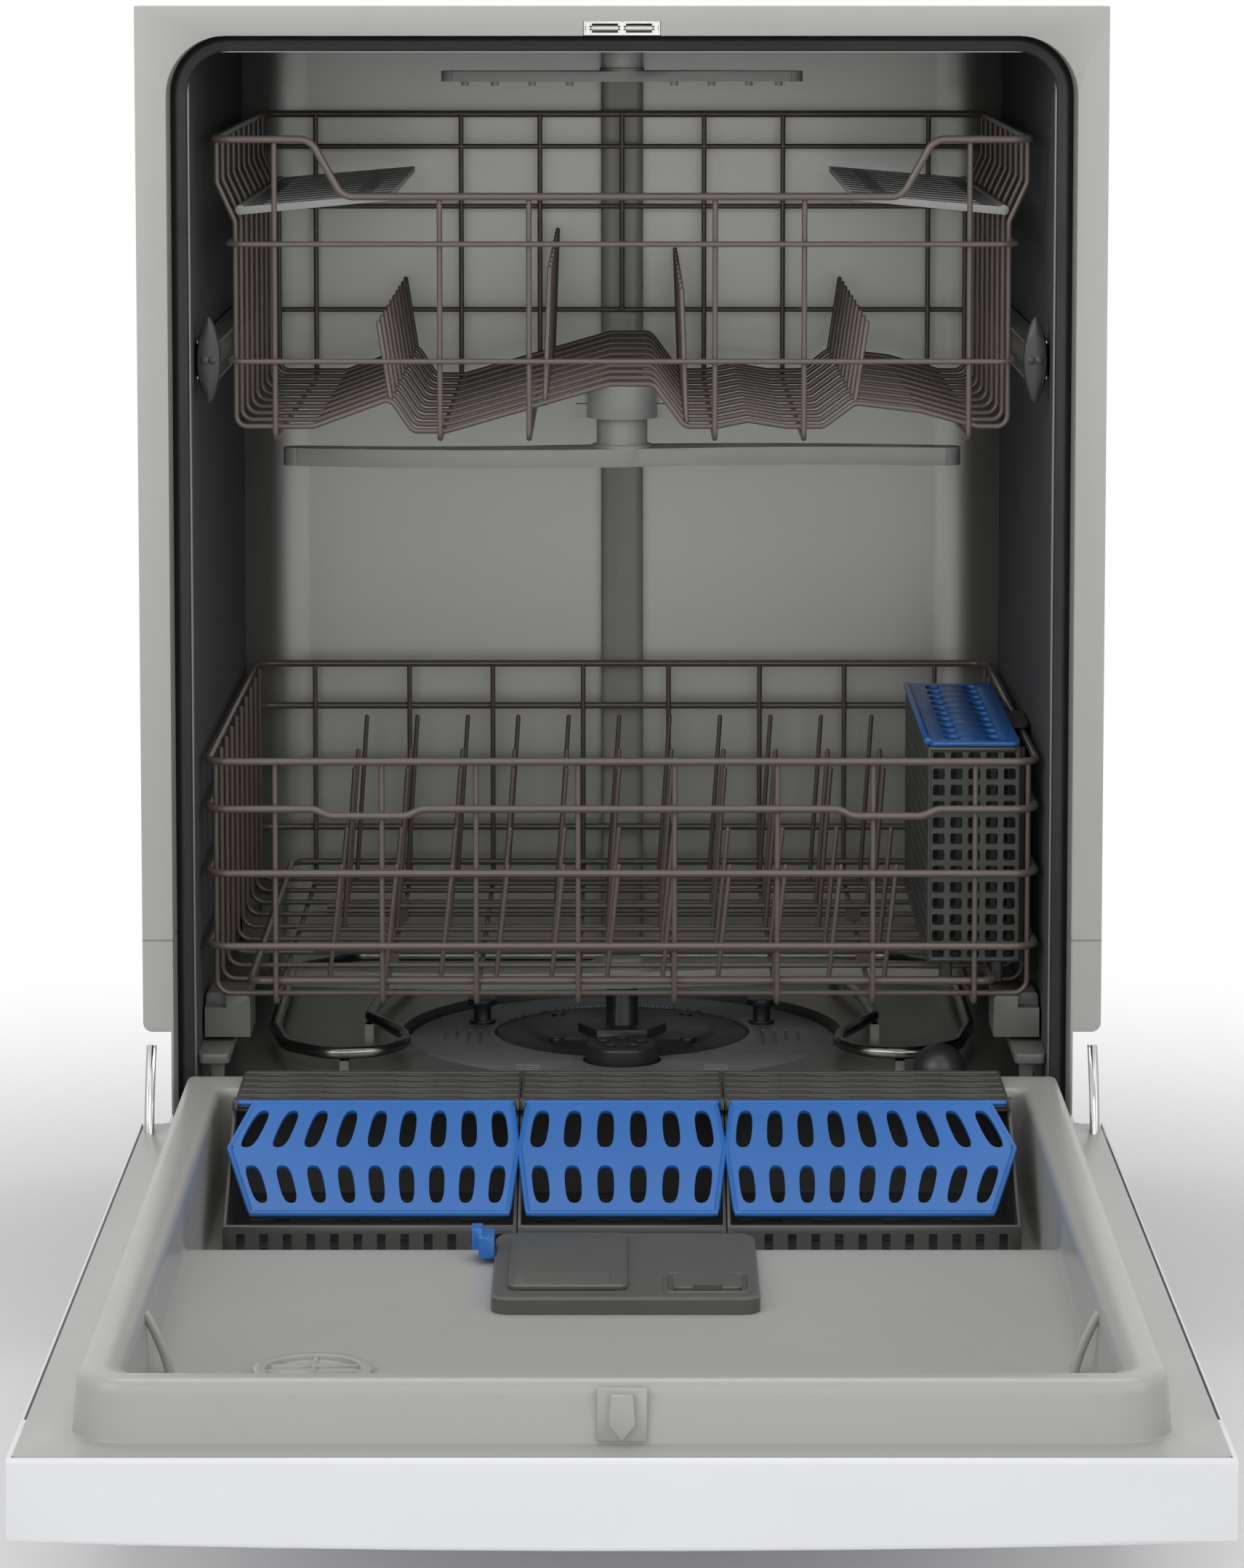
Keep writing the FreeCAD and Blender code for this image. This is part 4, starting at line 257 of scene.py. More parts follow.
def dress(node, material, edge=0.0, segments=2):
    """Material on a CAD node, with its triangles welded and, where an edge is given, its corners rounded."""
    shown = frame["nodes"][node]
    shown.data.materials.clear()
    shown.data.materials.append(material)
    shown.data.shade_smooth()
    weld = shown.modifiers.new("weld", "WELD")
    weld.merge_threshold = 0.000005
    if edge:
        rounding = shown.modifiers.new("edge", "BEVEL")
        rounding.width = edge
        rounding.segments = segments
        rounding.limit_method = "ANGLE"
        rounding.angle_limit = math.radians(40)
        rounding.harden_normals = True
        rounding.use_clamp_overlap = True
    else:
        split = shown.modifiers.new("edge", "EDGE_SPLIT")
        split.split_angle = math.radians(40)


# ------------------------------------------------------------ shader groups
def wire(tree, source, target):
    tree.links.new(source, target)


def node(tree, kind, **settings):
    """Adds a shader node and sets its properties and, by number or name, its inputs."""
    made = tree.nodes.new(kind)
    for key, value in settings.items():
        if key == "inputs":
            for socket, number in value.items():
                made.inputs[socket].default_value = number
        else:
            setattr(made, key, value)
    return made


def new_group(name, inputs, outputs):
    """Empty node group with named sockets, each (name, kind, default)."""
    group = bpy.data.node_groups.new(name, "ShaderNodeTree")
    for socket, kind, start in inputs:
        made = group.interface.new_socket(name=socket, in_out="INPUT", socket_type="NodeSocket" + kind)
        if start is not None:
            made.default_value = start
    for socket, kind in outputs:
        group.interface.new_socket(name=socket, in_out="OUTPUT", socket_type="NodeSocket" + kind)
    return group, group.nodes.new("NodeGroupInput"), group.nodes.new("NodeGroupOutput")


def group_mottle():
    """Two tones mixed by soft cloudy noise over the object, with a faint finer layer."""
    inputs = [("Light", "Color", (1, 1, 1, 1)), ("Dark", "Color", (0, 0, 0, 1)), ("Scale", "Float", 10.0)]
    group, given, out = new_group("mottle", inputs, [("Color", "Color")])
    place = node(group, "ShaderNodeTexCoord")
    cloud = node(group, "ShaderNodeTexNoise", inputs={"Detail": 4.0, "Roughness": 0.6})
    steep = node(group, "ShaderNodeMapRange", inputs={"From Min": 0.3, "From Max": 0.7})
    mix = node(group, "ShaderNodeMix", data_type="RGBA")
    wire(group, place.outputs["Object"], cloud.inputs["Vector"])
    wire(group, given.outputs["Scale"], cloud.inputs["Scale"])
    wire(group, cloud.outputs["Fac"], steep.inputs["Value"])
    wire(group, steep.outputs["Result"], mix.inputs["Factor"])
    wire(group, given.outputs["Dark"], mix.inputs["A"])
    wire(group, given.outputs["Light"], mix.inputs["B"])
    wire(group, mix.outputs["Result"], out.inputs["Color"])
    return group


def group_smudge():
    """Roughness between two values, by soft noise such as handling and rinsing leave."""
    group, given, out = new_group("smudge", [("Low", "Float", 0.3), ("High", "Float", 0.4),
                                             ("Scale", "Float", 12.0)], [("Value", "Float")])
    place = node(group, "ShaderNodeTexCoord")
    cloud = node(group, "ShaderNodeTexNoise", inputs={"Detail": 5.0, "Roughness": 0.65, "Distortion": 0.4})
    spread = node(group, "ShaderNodeMapRange", inputs={"From Min": 0.3, "From Max": 0.7})
    wire(group, place.outputs["Object"], cloud.inputs["Vector"])
    wire(group, given.outputs["Scale"], cloud.inputs["Scale"])
    wire(group, cloud.outputs["Fac"], spread.inputs["Value"])
    wire(group, given.outputs["Low"], spread.inputs["To Min"])
    wire(group, given.outputs["High"], spread.inputs["To Max"])
    wire(group, spread.outputs["Result"], out.inputs["Value"])
    return group


def group_grain():
    """Fine relief: noise over object coordinates stretched by a vector, so it can be pebbled or brushed."""
    group, given, out = new_group("grain", [("Stretch", "Vector", (1, 1, 1)), ("Detail", "Float", 2.0)],
                                  [("Height", "Float")])
    place = node(group, "ShaderNodeTexCoord")
    scaled = node(group, "ShaderNodeVectorMath", operation="MULTIPLY")
    relief = node(group, "ShaderNodeTexNoise", inputs={"Scale": 1.0, "Roughness": 0.55})
    wire(group, place.outputs["Object"], scaled.inputs[0])
    wire(group, given.outputs["Stretch"], scaled.inputs[1])
    wire(group, scaled.outputs[0], relief.inputs["Vector"])
    wire(group, given.outputs["Detail"], relief.inputs["Detail"])
    wire(group, relief.outputs["Fac"], out.inputs["Height"])
    return group


def group_corner_shade():
    """Painted shade: mask that darkens inside corners, from how much of the surroundings each point sees."""
    group, given, out = new_group("corner", [("Reach", "Float", 0.02), ("Amount", "Float", 1.0)],
                                  [("Mask", "Float")])
    seen = node(group, "ShaderNodeAmbientOcclusion", samples=6)
    steep = node(group, "ShaderNodeMapRange", inputs={"From Min": 0.35, "From Max": 0.95, "To Min": 1.0,
                                                      "To Max": 0.0})
    scaled = node(group, "ShaderNodeMath", operation="MULTIPLY")
    wire(group, given.outputs["Reach"], seen.inputs["Distance"])
    wire(group, seen.outputs["AO"], steep.inputs["Value"])
    wire(group, steep.outputs["Result"], scaled.inputs[0])
    wire(group, given.outputs["Amount"], scaled.inputs[1])
    wire(group, scaled.outputs[0], out.inputs["Mask"])
    return group


def group_holes():
    """Mask of small round holes on a square lattice seen from above: distance to the nearest centre."""
    group, given, out = new_group("holes", [("Pitch", "Float", 0.0015), ("Share", "Float", 0.3)],
                                  [("Mask", "Float")])
    place = node(group, "ShaderNodeTexCoord")
    tilt = node(group, "ShaderNodeMapping", inputs={"Rotation": (0, 0, math.radians(45))})
    density = node(group, "ShaderNodeMath", operation="DIVIDE", inputs={0: 1.0})
    cells = node(group, "ShaderNodeTexVoronoi", voronoi_dimensions="2D", inputs={"Randomness": 0.0})
    inside = node(group, "ShaderNodeMath", operation="LESS_THAN")
    wire(group, place.outputs["Object"], tilt.inputs["Vector"])
    wire(group, tilt.outputs["Vector"], cells.inputs["Vector"])
    wire(group, given.outputs["Pitch"], density.inputs[1])
    wire(group, density.outputs[0], cells.inputs["Scale"])
    wire(group, cells.outputs["Distance"], inside.inputs[0])
    wire(group, given.outputs["Share"], inside.inputs[1])
    wire(group, inside.outputs[0], out.inputs["Mask"])
    return group


GROUPS = {}


def placed(tree, name, **inputs):
    """Places a shared group in a material, made the first time that it is asked for."""
    makers = {"mottle": group_mottle, "smudge": group_smudge, "grain": group_grain, "corner": group_corner_shade,
              "holes": group_holes}
    if name not in GROUPS:
        GROUPS[name] = makers[name]()
    made = node(tree, "ShaderNodeGroup", node_tree=GROUPS[name])
    for socket, value in inputs.items():
        made.inputs[socket].default_value = value
    return made


# ------------------------------------------------------------ materials
def tone(base, factor):
    return tuple(min(1.0, c * factor) for c in base) + (1.0,)


def finish(name, base, gloss, metal=0.0, coat=0.0, spread=0.06, cloud=9.0, pebble=(900, 900, 900),
           relief=0.03, depth=0.0002, corner=0.0, detail=2.0):
    """Shared build of a finish: mottled colour, painted shade darkening inside corners where asked, smudged
    gloss and relief.
    """
    material = bpy.data.materials.new(name)
    material.use_nodes = True
    tree = material.node_tree
    surface = tree.nodes["Principled BSDF"]
    surface.inputs["Metallic"].default_value = metal
    surface.inputs["Coat Weight"].default_value = coat
    surface.inputs["Coat Roughness"].default_value = 0.12
    mottle = placed(tree, "mottle", Light=tone(base, 1 + spread), Dark=tone(base, 1 - spread), Scale=cloud)
    smudge = placed(tree, "smudge", Low=gloss[0], High=gloss[1], Scale=14.0)
    grain = placed(tree, "grain", Stretch=pebble, Detail=detail)
    bump = node(tree, "ShaderNodeBump", inputs={"Strength": relief, "Distance": depth})
    wire(tree, mottle.outputs["Color"], surface.inputs["Base Color"])
    # Painted shade: corner is the amount by which inside corners are darkened towards three tenths of the
    # base colour.
    if corner:
        corner_shade_mask = placed(tree, "corner", Reach=0.02, Amount=corner)
        shaded = node(tree, "ShaderNodeMix", data_type="RGBA", inputs={"B": tone(base, 0.3)})
        wire(tree, mottle.outputs["Color"], shaded.inputs["A"])
        wire(tree, corner_shade_mask.outputs["Mask"], shaded.inputs["Factor"])
        wire(tree, shaded.outputs["Result"], surface.inputs["Base Color"])
    wire(tree, smudge.outputs["Value"], surface.inputs["Roughness"])
    wire(tree, grain.outputs["Height"], bump.inputs["Height"])
    wire(tree, bump.outputs["Normal"], surface.inputs["Normal"])
    return material, tree, surface, bump


def base_colour(surface):
    """Socket that feeds a finish's base colour so far."""
    return surface.inputs["Base Color"].links[0].from_socket


def tub_steel():
    """Stainless steel brushed upright on the walls and front to back on flat parts, with painted light on the
    walls facing sideways.
    """
    base = colours().tub
    pitch = 1 / sizes().brush_pitch
    material, tree, surface, bump = finish("tub_steel", base, (0.30, 0.38), metal=1.0, spread=0.015,
                                           cloud=3.0, pebble=(pitch, pitch, 7), relief=0.45, depth=0.0003,
                                           detail=3.0)
    facing = node(tree, "ShaderNodeNewGeometry")
    parts = node(tree, "ShaderNodeSeparateXYZ")
    size = node(tree, "ShaderNodeMath", operation="ABSOLUTE")
    flat = node(tree, "ShaderNodeMath", operation="GREATER_THAN", inputs={1: 0.6})
    lengthways = placed(tree, "grain", Stretch=(pitch, 9, pitch), Detail=3.0)
    upright = bump.inputs["Height"].links[0].from_node
    choose = node(tree, "ShaderNodeMix", data_type="FLOAT")
    # Painted light: walls facing sideways are made less metallic and their colour raised up to nine times,
    # standing in for lamp light on the side walls.
    sideways = node(tree, "ShaderNodeMath", operation="ABSOLUTE")
    walls = node(tree, "ShaderNodeMix", data_type="RGBA", inputs={"B": tone(base, 9.0)})
    streak = placed(tree, "grain", Stretch=(160, 160, 0.8), Detail=4.0)
    streaks = node(tree, "ShaderNodeMapRange",
                   inputs={"From Min": 0.3, "From Max": 0.7, "To Min": 0.72, "To Max": 1.28})
    sheen = node(tree, "ShaderNodeMapRange", inputs={"To Min": 1.0, "To Max": 0.35})
    streaked = node(tree, "ShaderNodeVectorMath", operation="MULTIPLY")
    source = base_colour(surface)
    wire(tree, facing.outputs["Normal"], parts.inputs[0])
    wire(tree, parts.outputs["Z"], size.inputs[0])
    wire(tree, size.outputs[0], flat.inputs[0])
    wire(tree, flat.outputs[0], choose.inputs["Factor"])
    wire(tree, upright.outputs["Height"], choose.inputs["A"])
    wire(tree, lengthways.outputs["Height"], choose.inputs["B"])
    wire(tree, choose.outputs["Result"], bump.inputs["Height"])
    wire(tree, parts.outputs["X"], sideways.inputs[0])
    wire(tree, sideways.outputs[0], walls.inputs["Factor"])
    wire(tree, sideways.outputs[0], sheen.inputs["Value"])
    wire(tree, sheen.outputs["Result"], surface.inputs["Metallic"])
    wire(tree, source, walls.inputs["A"])
    wire(tree, streak.outputs["Height"], streaks.inputs["Value"])
    wire(tree, walls.outputs["Result"], streaked.inputs[0])
    wire(tree, streaks.outputs["Result"], streaked.inputs[1])
    wire(tree, streaked.outputs[0], surface.inputs["Base Color"])
    return material


def frame_paint():
    """Satin paint with a pressed seam across each side band, near its foot."""
    material, tree, surface = finish("frame_paint", colours().frame, (0.36, 0.46), spread=0.03, cloud=4.0,
                                     pebble=(520, 520, 520), relief=0.015, detail=1.0)[:3]
    seam_height, seam_width = 0.275, 0.0006
    place = node(tree, "ShaderNodeTexCoord")
    parts = node(tree, "ShaderNodeSeparateXYZ")
    off = node(tree, "ShaderNodeMath", operation="SUBTRACT", inputs={1: seam_height})
    size = node(tree, "ShaderNodeMath", operation="ABSOLUTE")
    line = node(tree, "ShaderNodeMath", operation="LESS_THAN", inputs={1: seam_width})
    dark = node(tree, "ShaderNodeMix", data_type="RGBA", inputs={"B": tone(colours().frame, 0.55)})
    source = base_colour(surface)
    wire(tree, place.outputs["Object"], parts.inputs[0])
    wire(tree, parts.outputs["Z"], off.inputs[0])
    wire(tree, off.outputs[0], size.inputs[0])
    wire(tree, size.outputs[0], line.inputs[0])
    wire(tree, line.outputs[0], dark.inputs["Factor"])
    wire(tree, source, dark.inputs["A"])
    wire(tree, dark.outputs["Result"], surface.inputs["Base Color"])
    return material


def filter_mesh():
    """Grey moulding with rows of tiny holes, painted dark as the shade seen through them and sunk by a bump,
    with thin diagonal ribs between them.
    """
    base = colours().mesh
    material, tree, surface, bump = finish("filter_mesh", base, (0.42, 0.55))
    holes = placed(tree, "holes", Pitch=sizes().hole_pitch, Share=0.3)
    place = node(tree, "ShaderNodeTexCoord")
    slant = node(tree, "ShaderNodeMapping", inputs={"Rotation": (0, 0, math.radians(28))})
    parts = node(tree, "ShaderNodeSeparateXYZ")
    steps = node(tree, "ShaderNodeMath", operation="PINGPONG", inputs={1: 0.0042})
    rib = node(tree, "ShaderNodeMath", operation="LESS_THAN", inputs={1: 0.0004})
    open_part = node(tree, "ShaderNodeMath", operation="SUBTRACT", use_clamp=True)
    # Painted shade: the hole spots, less the ribs, are darkened to a quarter of the base colour.
    dark = node(tree, "ShaderNodeMix", data_type="RGBA", inputs={"B": tone(base, 0.25)})
    height = node(tree, "ShaderNodeMath", operation="SUBTRACT", inputs={0: 1.0})
    source = base_colour(surface)
    wire(tree, place.outputs["Object"], slant.inputs["Vector"])
    wire(tree, slant.outputs["Vector"], parts.inputs[0])
    wire(tree, parts.outputs["Y"], steps.inputs[0])
    wire(tree, steps.outputs[0], rib.inputs[0])
    wire(tree, holes.outputs["Mask"], open_part.inputs[0])
    wire(tree, rib.outputs[0], open_part.inputs[1])
    wire(tree, open_part.outputs[0], dark.inputs["Factor"])
    wire(tree, source, dark.inputs["A"])
    wire(tree, dark.outputs["Result"], surface.inputs["Base Color"])
    wire(tree, open_part.outputs[0], height.inputs[1])
    wire(tree, height.outputs[0], bump.inputs["Height"])
    bump.inputs["Strength"].default_value = 0.35
    bump.inputs["Distance"].default_value = 0.0004
    return material


def spangle():
    """Zinc-plated sheet with faint crystal patches."""
    material, tree, surface = finish("zinc_sheet", colours().steel, (0.32, 0.46), metal=1.0, spread=0.05,
                                     relief=0.04)[:3]
    place = node(tree, "ShaderNodeTexCoord")
    crystals = node(tree, "ShaderNodeTexVoronoi", inputs={"Scale": 160.0})
    shift = node(tree, "ShaderNodeMix", data_type="RGBA", blend_type="SOFT_LIGHT", inputs={"Factor": 0.25})
    source = base_colour(surface)
    wire(tree, place.outputs["Object"], crystals.inputs["Vector"])
    wire(tree, source, shift.inputs["A"])
    tint = node(tree, "ShaderNodeRGBToBW")
    wire(tree, crystals.outputs["Color"], tint.inputs[0])
    wire(tree, tint.outputs[0], shift.inputs["B"])
    wire(tree, shift.outputs["Result"], surface.inputs["Base Color"])
    return material


def heater_sheath():
    """Polished heater sheath, a little mottled."""
    return finish("heater_sheath", colours().heater, (0.16, 0.28), metal=1.0, spread=0.12, cloud=22.0,
                  relief=0.03)[0]


def felt():
    """Dense felt: tangled fibres in two stretched layers, very matt."""
    made = finish("blanket_felt", colours().felt, (0.86, 0.96), spread=0.22, cloud=140.0,
                  pebble=(700, 2600, 700), relief=0.6, depth=0.0006, detail=6.0)
    material, surface = made[0], made[2]
    surface.inputs["Sheen Weight"].default_value = 0.3
    surface.inputs["Sheen Roughness"].default_value = 0.5
    return material


def material(name):
    """The named finish, made once."""
    if name in bpy.data.materials:
        return bpy.data.materials[name]
    c = colours()
    special = {"tub_steel": tub_steel, "frame_paint": frame_paint, "filter_mesh": filter_mesh,
               "zinc_sheet": spangle, "heater_sheath": heater_sheath, "blanket_felt": felt}
    if name in special:
        return special[name]()
    plain = {
        "rack_nylon": (c.rack, (0.3, 0.42), dict(coat=0.15, spread=0.1, cloud=30.0, pebble=(420,) * 3,
                                                 relief=0.12)),
        "blue_moulding": (c.blue, (0.32, 0.44), dict(spread=0.05, pebble=(620,) * 3, relief=0.02,
                                                     detail=1.0)),
        "liner_moulding": (c.liner, (0.28, 0.34), dict(spread=0.012, cloud=4.0, pebble=(420,) * 3,
                                                       relief=0.012, detail=1.0)),
        "housing_moulding": (c.housing, (0.4, 0.5), dict(spread=0.05, pebble=(1300,) * 3, relief=0.08)),
        "cap_moulding": (c.cap, (0.34, 0.46), dict(spread=0.08, pebble=(1300,) * 3, relief=0.08)),
        "duct_moulding": (c.duct, (0.34, 0.44), dict(spread=0.03, pebble=(1300,) * 3, relief=0.05)),
        "door_enamel": (c.white, (0.2, 0.3), dict(coat=0.25, spread=0.012, cloud=3.0, pebble=(380,) * 3,
                                                  relief=0.012, detail=1.0)),
        "console_moulding": (c.white, (0.3, 0.4), dict(spread=0.012, pebble=(520,) * 3, relief=0.015,
                                                       detail=1.0)),
        "key_moulding": (tuple(v * 0.7 for v in c.white), (0.42, 0.5), dict(spread=0.03, relief=0.05)),
        # Painted shade: corner darkens the basket moulding's inside corners.
        "basket_moulding": (c.basket, (0.38, 0.5), dict(spread=0.08, cloud=20.0, pebble=(1500,) * 3,
                                                        relief=0.1, corner=0.3)),
        "dispenser_moulding": (c.dispenser, (0.45, 0.56), dict(spread=0.06, pebble=(2600,) * 3, relief=0.16)),
        "arm_moulding": (c.arms, (0.34, 0.46), dict(spread=0.05, pebble=(1300,) * 3, relief=0.06)),
        # Painted shade: corner darkens the black moulding's inside corners.
        "black_moulding": (c.black, (0.3, 0.44), dict(spread=0.1, pebble=(1800,) * 3, relief=0.1,
                                                      corner=0.25)),
        "seal_rubber": (c.rubber, (0.5, 0.66), dict(spread=0.15, cloud=24.0, pebble=(900,) * 3, relief=0.12)),
        "bright_plate": (c.steel, (0.14, 0.24), dict(metal=1.0, spread=0.06, relief=0.03)),
        "pump_moulding": (c.pump, (0.42, 0.56), dict(spread=0.08, pebble=(1200,) * 3, relief=0.12)),
    }
    base, gloss, extra = plain[name]
    return finish(name, tuple(base), gloss, **extra)[0]


def corners(name):
    """Lowest and highest corner of a CAD node, as arrays."""
    low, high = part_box(name)
    return np.array(low), np.array(high)


def one_side(name, side):
    """Lowest and highest corner of the part of a CAD node on one side of the middle."""
    mesh = frame["nodes"][name].data
    points = np.empty(len(mesh.vertices) * 3)
    mesh.vertices.foreach_get("co", points)
    points = points.reshape(-1, 3)
    points = points[points[:, 0] * side > 0]
    return points.min(0), points.max(0)


# ------------------------------------------------------------ operators
class DISHWASHER_OT_tub(bpy.types.Operator):
    """Wash tub, wheel ledges, water duct and the front frame"""
    bl_idname = "dishwasher.tub"
    bl_label = "Tub and frame"

    def execute(self, context):
        dress("tub", material("tub_steel"))
        dress("tub_frame", material("frame_paint"), sizes().edge_sheet)
        dress("rack_tracks", material("housing_moulding"), sizes().edge_moulding)
        dress("supply_duct", material("duct_moulding"), sizes().edge_moulding)
        dress("latch_strike", material("bright_plate"))
        return {"FINISHED"}


class DISHWASHER_OT_seal(bpy.types.Operator):
    """Door seal: a bulb with a lip, carried up one side of the mouth, across and down"""
    bl_idname = "dishwasher.seal"
    bl_label = "Door seal"

    def execute(self, context):
        low, high = corners("tub_gasket")
        corner, inset = 37 * MM, 5.4 * MM
        half, top = high[0] - inset, high[2] - inset
        bend = np.linspace(0, TURN / 4, 13)
        radius = corner - inset
        side = np.stack([np.full(24, -half), np.linspace(low[2], top - radius, 24)], 1)
        left = np.stack([-half + radius - radius * np.cos(bend), top - radius + radius * np.sin(bend)], 1)
        path = np.concatenate([side, left, (left * (-1, 1))[::-1], (side * (-1, 1))[::-1]])
        path = np.delete(path, [24, len(path) - 25], axis=0)
        path = np.stack([path[:, 0], np.full(len(path), (low[1] + high[1]) / 2), path[:, 1]], 1)
        angle = np.arange(28) * TURN / 28
        swell = 1 + 0.1 * np.cos(5 * angle)
        profile = np.stack([5.0 * MM * np.cos(angle) * swell, 3.7 * MM * np.sin(angle) * swell], 1)
        piece("door_seal", [carried(path, profile, (0, 1, 0))], material("seal_rubber"), "cabinet",
              ["tub_gasket"])
        return {"FINISHED"}


class DISHWASHER_OT_racks(bpy.types.Operator):
    """Racks, their tine rows, shelves, rails, wheels and the cutlery basket's lid"""
    bl_idname = "dishwasher.racks"
    bl_label = "Racks"

    def execute(self, context):
        for name in ("upper_rack", "lower_rack", "fold_tines_front", "fold_tines_rear"):
            dress(name, material("rack_nylon"))
        for name in ("cup_shelf_left", "cup_shelf_right", "mid_feed"):
            dress(name, material("arm_moulding"), sizes().edge_moulding * 0.6)
        for name in ("wheel_housings", "lower_wheels_front", "lower_wheels_rear"):
            dress(name, material("housing_moulding"), sizes().edge_moulding * 0.6)
        for name in ("rack_wheels_front", "rack_wheels_rear", "wall_rollers_front", "wall_rollers_rear"):
            dress(name, material("cap_moulding"), sizes().edge_moulding * 0.6)
        dress("rack_rails", material("zinc_sheet"))
        dress("cutlery_lid", material("blue_moulding"), sizes().edge_moulding * 0.6)
        return {"FINISHED"}


class DISHWASHER_OT_lattice(bpy.types.Operator):
    """Cutlery basket: four square-meshed walls, cross walls, a pierced floor and a rim"""
    bl_idname = "dishwasher.lattice"
    bl_label = "Cutlery basket"

    def execute(self, context):
        low, high = corners("cutlery_basket")
        hook = 11 * MM
        wall_low = np.array([low[0] + 1.2 * MM, low[1] + 1.2 * MM, low[2] + 17 * MM])
        wall_high = np.array([high[0] - hook - 3 * MM, high[1] - 1.2 * MM, high[2] - 2 * MM])
        size = wall_high - wall_low
        pitch = 10.5 * MM
        wide, long, tall = np.maximum(1, np.round(size / pitch).astype(int))
        parts = []
        for y in np.linspace(wall_low[1], wall_high[1], 5):
            def cross(u, v, w, y=y):
                return np.stack([wall_low[0] + size[0] * u, y + w, wall_low[2] + size[2] * v], -1)
            parts += pierced(cross, wide, tall, 0.34, 1.8 * MM, 6.0)
        for x in (wall_low[0], wall_high[0]):
            def flank(u, v, w, x=x):
                return np.stack([x + w, wall_low[1] + size[1] * u, wall_low[2] + size[2] * v], -1)
            parts += pierced(flank, long, tall, 0.34, 1.8 * MM, 6.0)

        def bottom(u, v, w):
            return np.stack([wall_low[0] + size[0] * u, wall_low[1] + size[1] * v, wall_low[2] + w], -1)
        parts += pierced(bottom, wide, long, 0.3, 1.8 * MM, 6.0)
        rim = rounded_plan(wall_low[:2], wall_high[:2], 3 * MM)
        rim = np.column_stack([rim, np.full(len(rim), wall_high[2])])
        parts.append(carried(rim, circle(2.0 * MM, 8), (0, 0, 1), True))
        for y in (wall_low[1] + 22 * MM, wall_high[1] - 22 * MM):
            for x in (wall_low[0] + 12 * MM, wall_high[0] - 12 * MM):
                foot = rounded_plan((x - 4 * MM, y - 7 * MM), (x + 4 * MM, y + 7 * MM), 2 * MM)
                parts.append(stacked([(foot, low[2]), (foot, wall_low[2])]))
        tab = rounded_plan((wall_high[0], wall_low[1] + 99 * MM), (high[0], wall_low[1] + 159 * MM), 4 * MM)
        parts.append(stacked([(tab, high[2] - 3 * MM), (tab, high[2] - 0.4 * MM)]))
        piece("cutlery_lattice", parts, material("basket_moulding"), "cutlery",
              ["cutlery_basket"])
        return {"FINISHED"}


class DISHWASHER_OT_caps(bpy.types.Operator):
    """Rail end caps: lens outlines with a domed face and two bosses"""
    bl_idname = "dishwasher.caps"
    bl_label = "Rail caps"

    def execute(self, context):
        parts = []
        for side in (-1, 1):
            low, high = one_side("rail_caps", side)
            middle, half = (low + high) / 2, (high - low) / 2
            angle = np.arange(40) * TURN / 40
            lens = np.stack([np.sign(np.cos(angle)) * np.abs(np.cos(angle)) ** 1.5, np.sin(angle)], 1)
            share = np.array([1.0, 1.0, 0.9, 0.6, 0.05])[:, None]
            front = np.array([1.0, 0.1, -0.5, -0.85, -1.0])[:, None] * half[1]
            width = half[0] * 0.96 * lens[:, 0] * share
            skin = np.stack([middle[0] + width, np.broadcast_to(middle[1] + front, width.shape),
                             middle[2] + half[2] * 0.98 * lens[:, 1] * share], -1)
            parts.append(grid(skin, round_v=True, caps=True))
            for x in (-0.3, 0.3):
                profile = [(2.6 * MM, 0), (2.6 * MM, -1.6 * MM), (1.6 * MM, -2.2 * MM), (0.4 * MM, -2.3 * MM)]
                boss = (middle[0] + half[0] * x, low[1] + 1.5 * MM, middle[2])
                parts.append(turned(profile, boss, "y", 16))
        piece("rail_lenses", parts, material("cap_moulding"), "rails", ["rail_caps"])
        return {"FINISHED"}


class DISHWASHER_OT_wash(bpy.types.Operator):
    """Spray arms, filter, sump cover, heater and float"""
    bl_idname = "dishwasher.wash"
    bl_label = "Washing parts"

    def execute(self, context):
        for name in ("lower_spray_arm", "mid_spray_arm", "top_spray_arm"):
            dress(name, material("arm_moulding"), sizes().edge_moulding * 1.6, 3)
        dress("float_dome", material("black_moulding"), sizes().edge_moulding)
        dress("filter_wings", material("filter_mesh"), sizes().edge_moulding * 0.5)
        dress("sump_cover", material("black_moulding"), sizes().edge_moulding)
        dress("filter_cup", material("black_moulding"), sizes().edge_moulding * 0.6)
        dress("heating_element", material("heater_sheath"))
        return {"FINISHED"}


class DISHWASHER_OT_door(bpy.types.Operator):
    """Outer door, console and its keys, hinges, vent and latch"""
    bl_idname = "dishwasher.door"
    bl_label = "Door"

    def execute(self, context):
        dress("outer_panel", material("door_enamel"), sizes().edge_sheet)
        dress("console", material("console_moulding"), sizes().edge_moulding)
        dress("start_key", material("key_moulding"), sizes().edge_moulding * 0.6)
        dress("cycle_key", material("key_moulding"), sizes().edge_moulding * 0.6)
        dress("door_latch", material("liner_moulding"), sizes().edge_moulding * 0.6)
        dress("door_vent", material("liner_moulding"), sizes().edge_moulding * 0.6)
        dress("hinge_arms", material("bright_plate"), sizes().edge_sheet)
        dress("hinge_brackets", material("zinc_sheet"), sizes().edge_sheet)
        return {"FINISHED"}


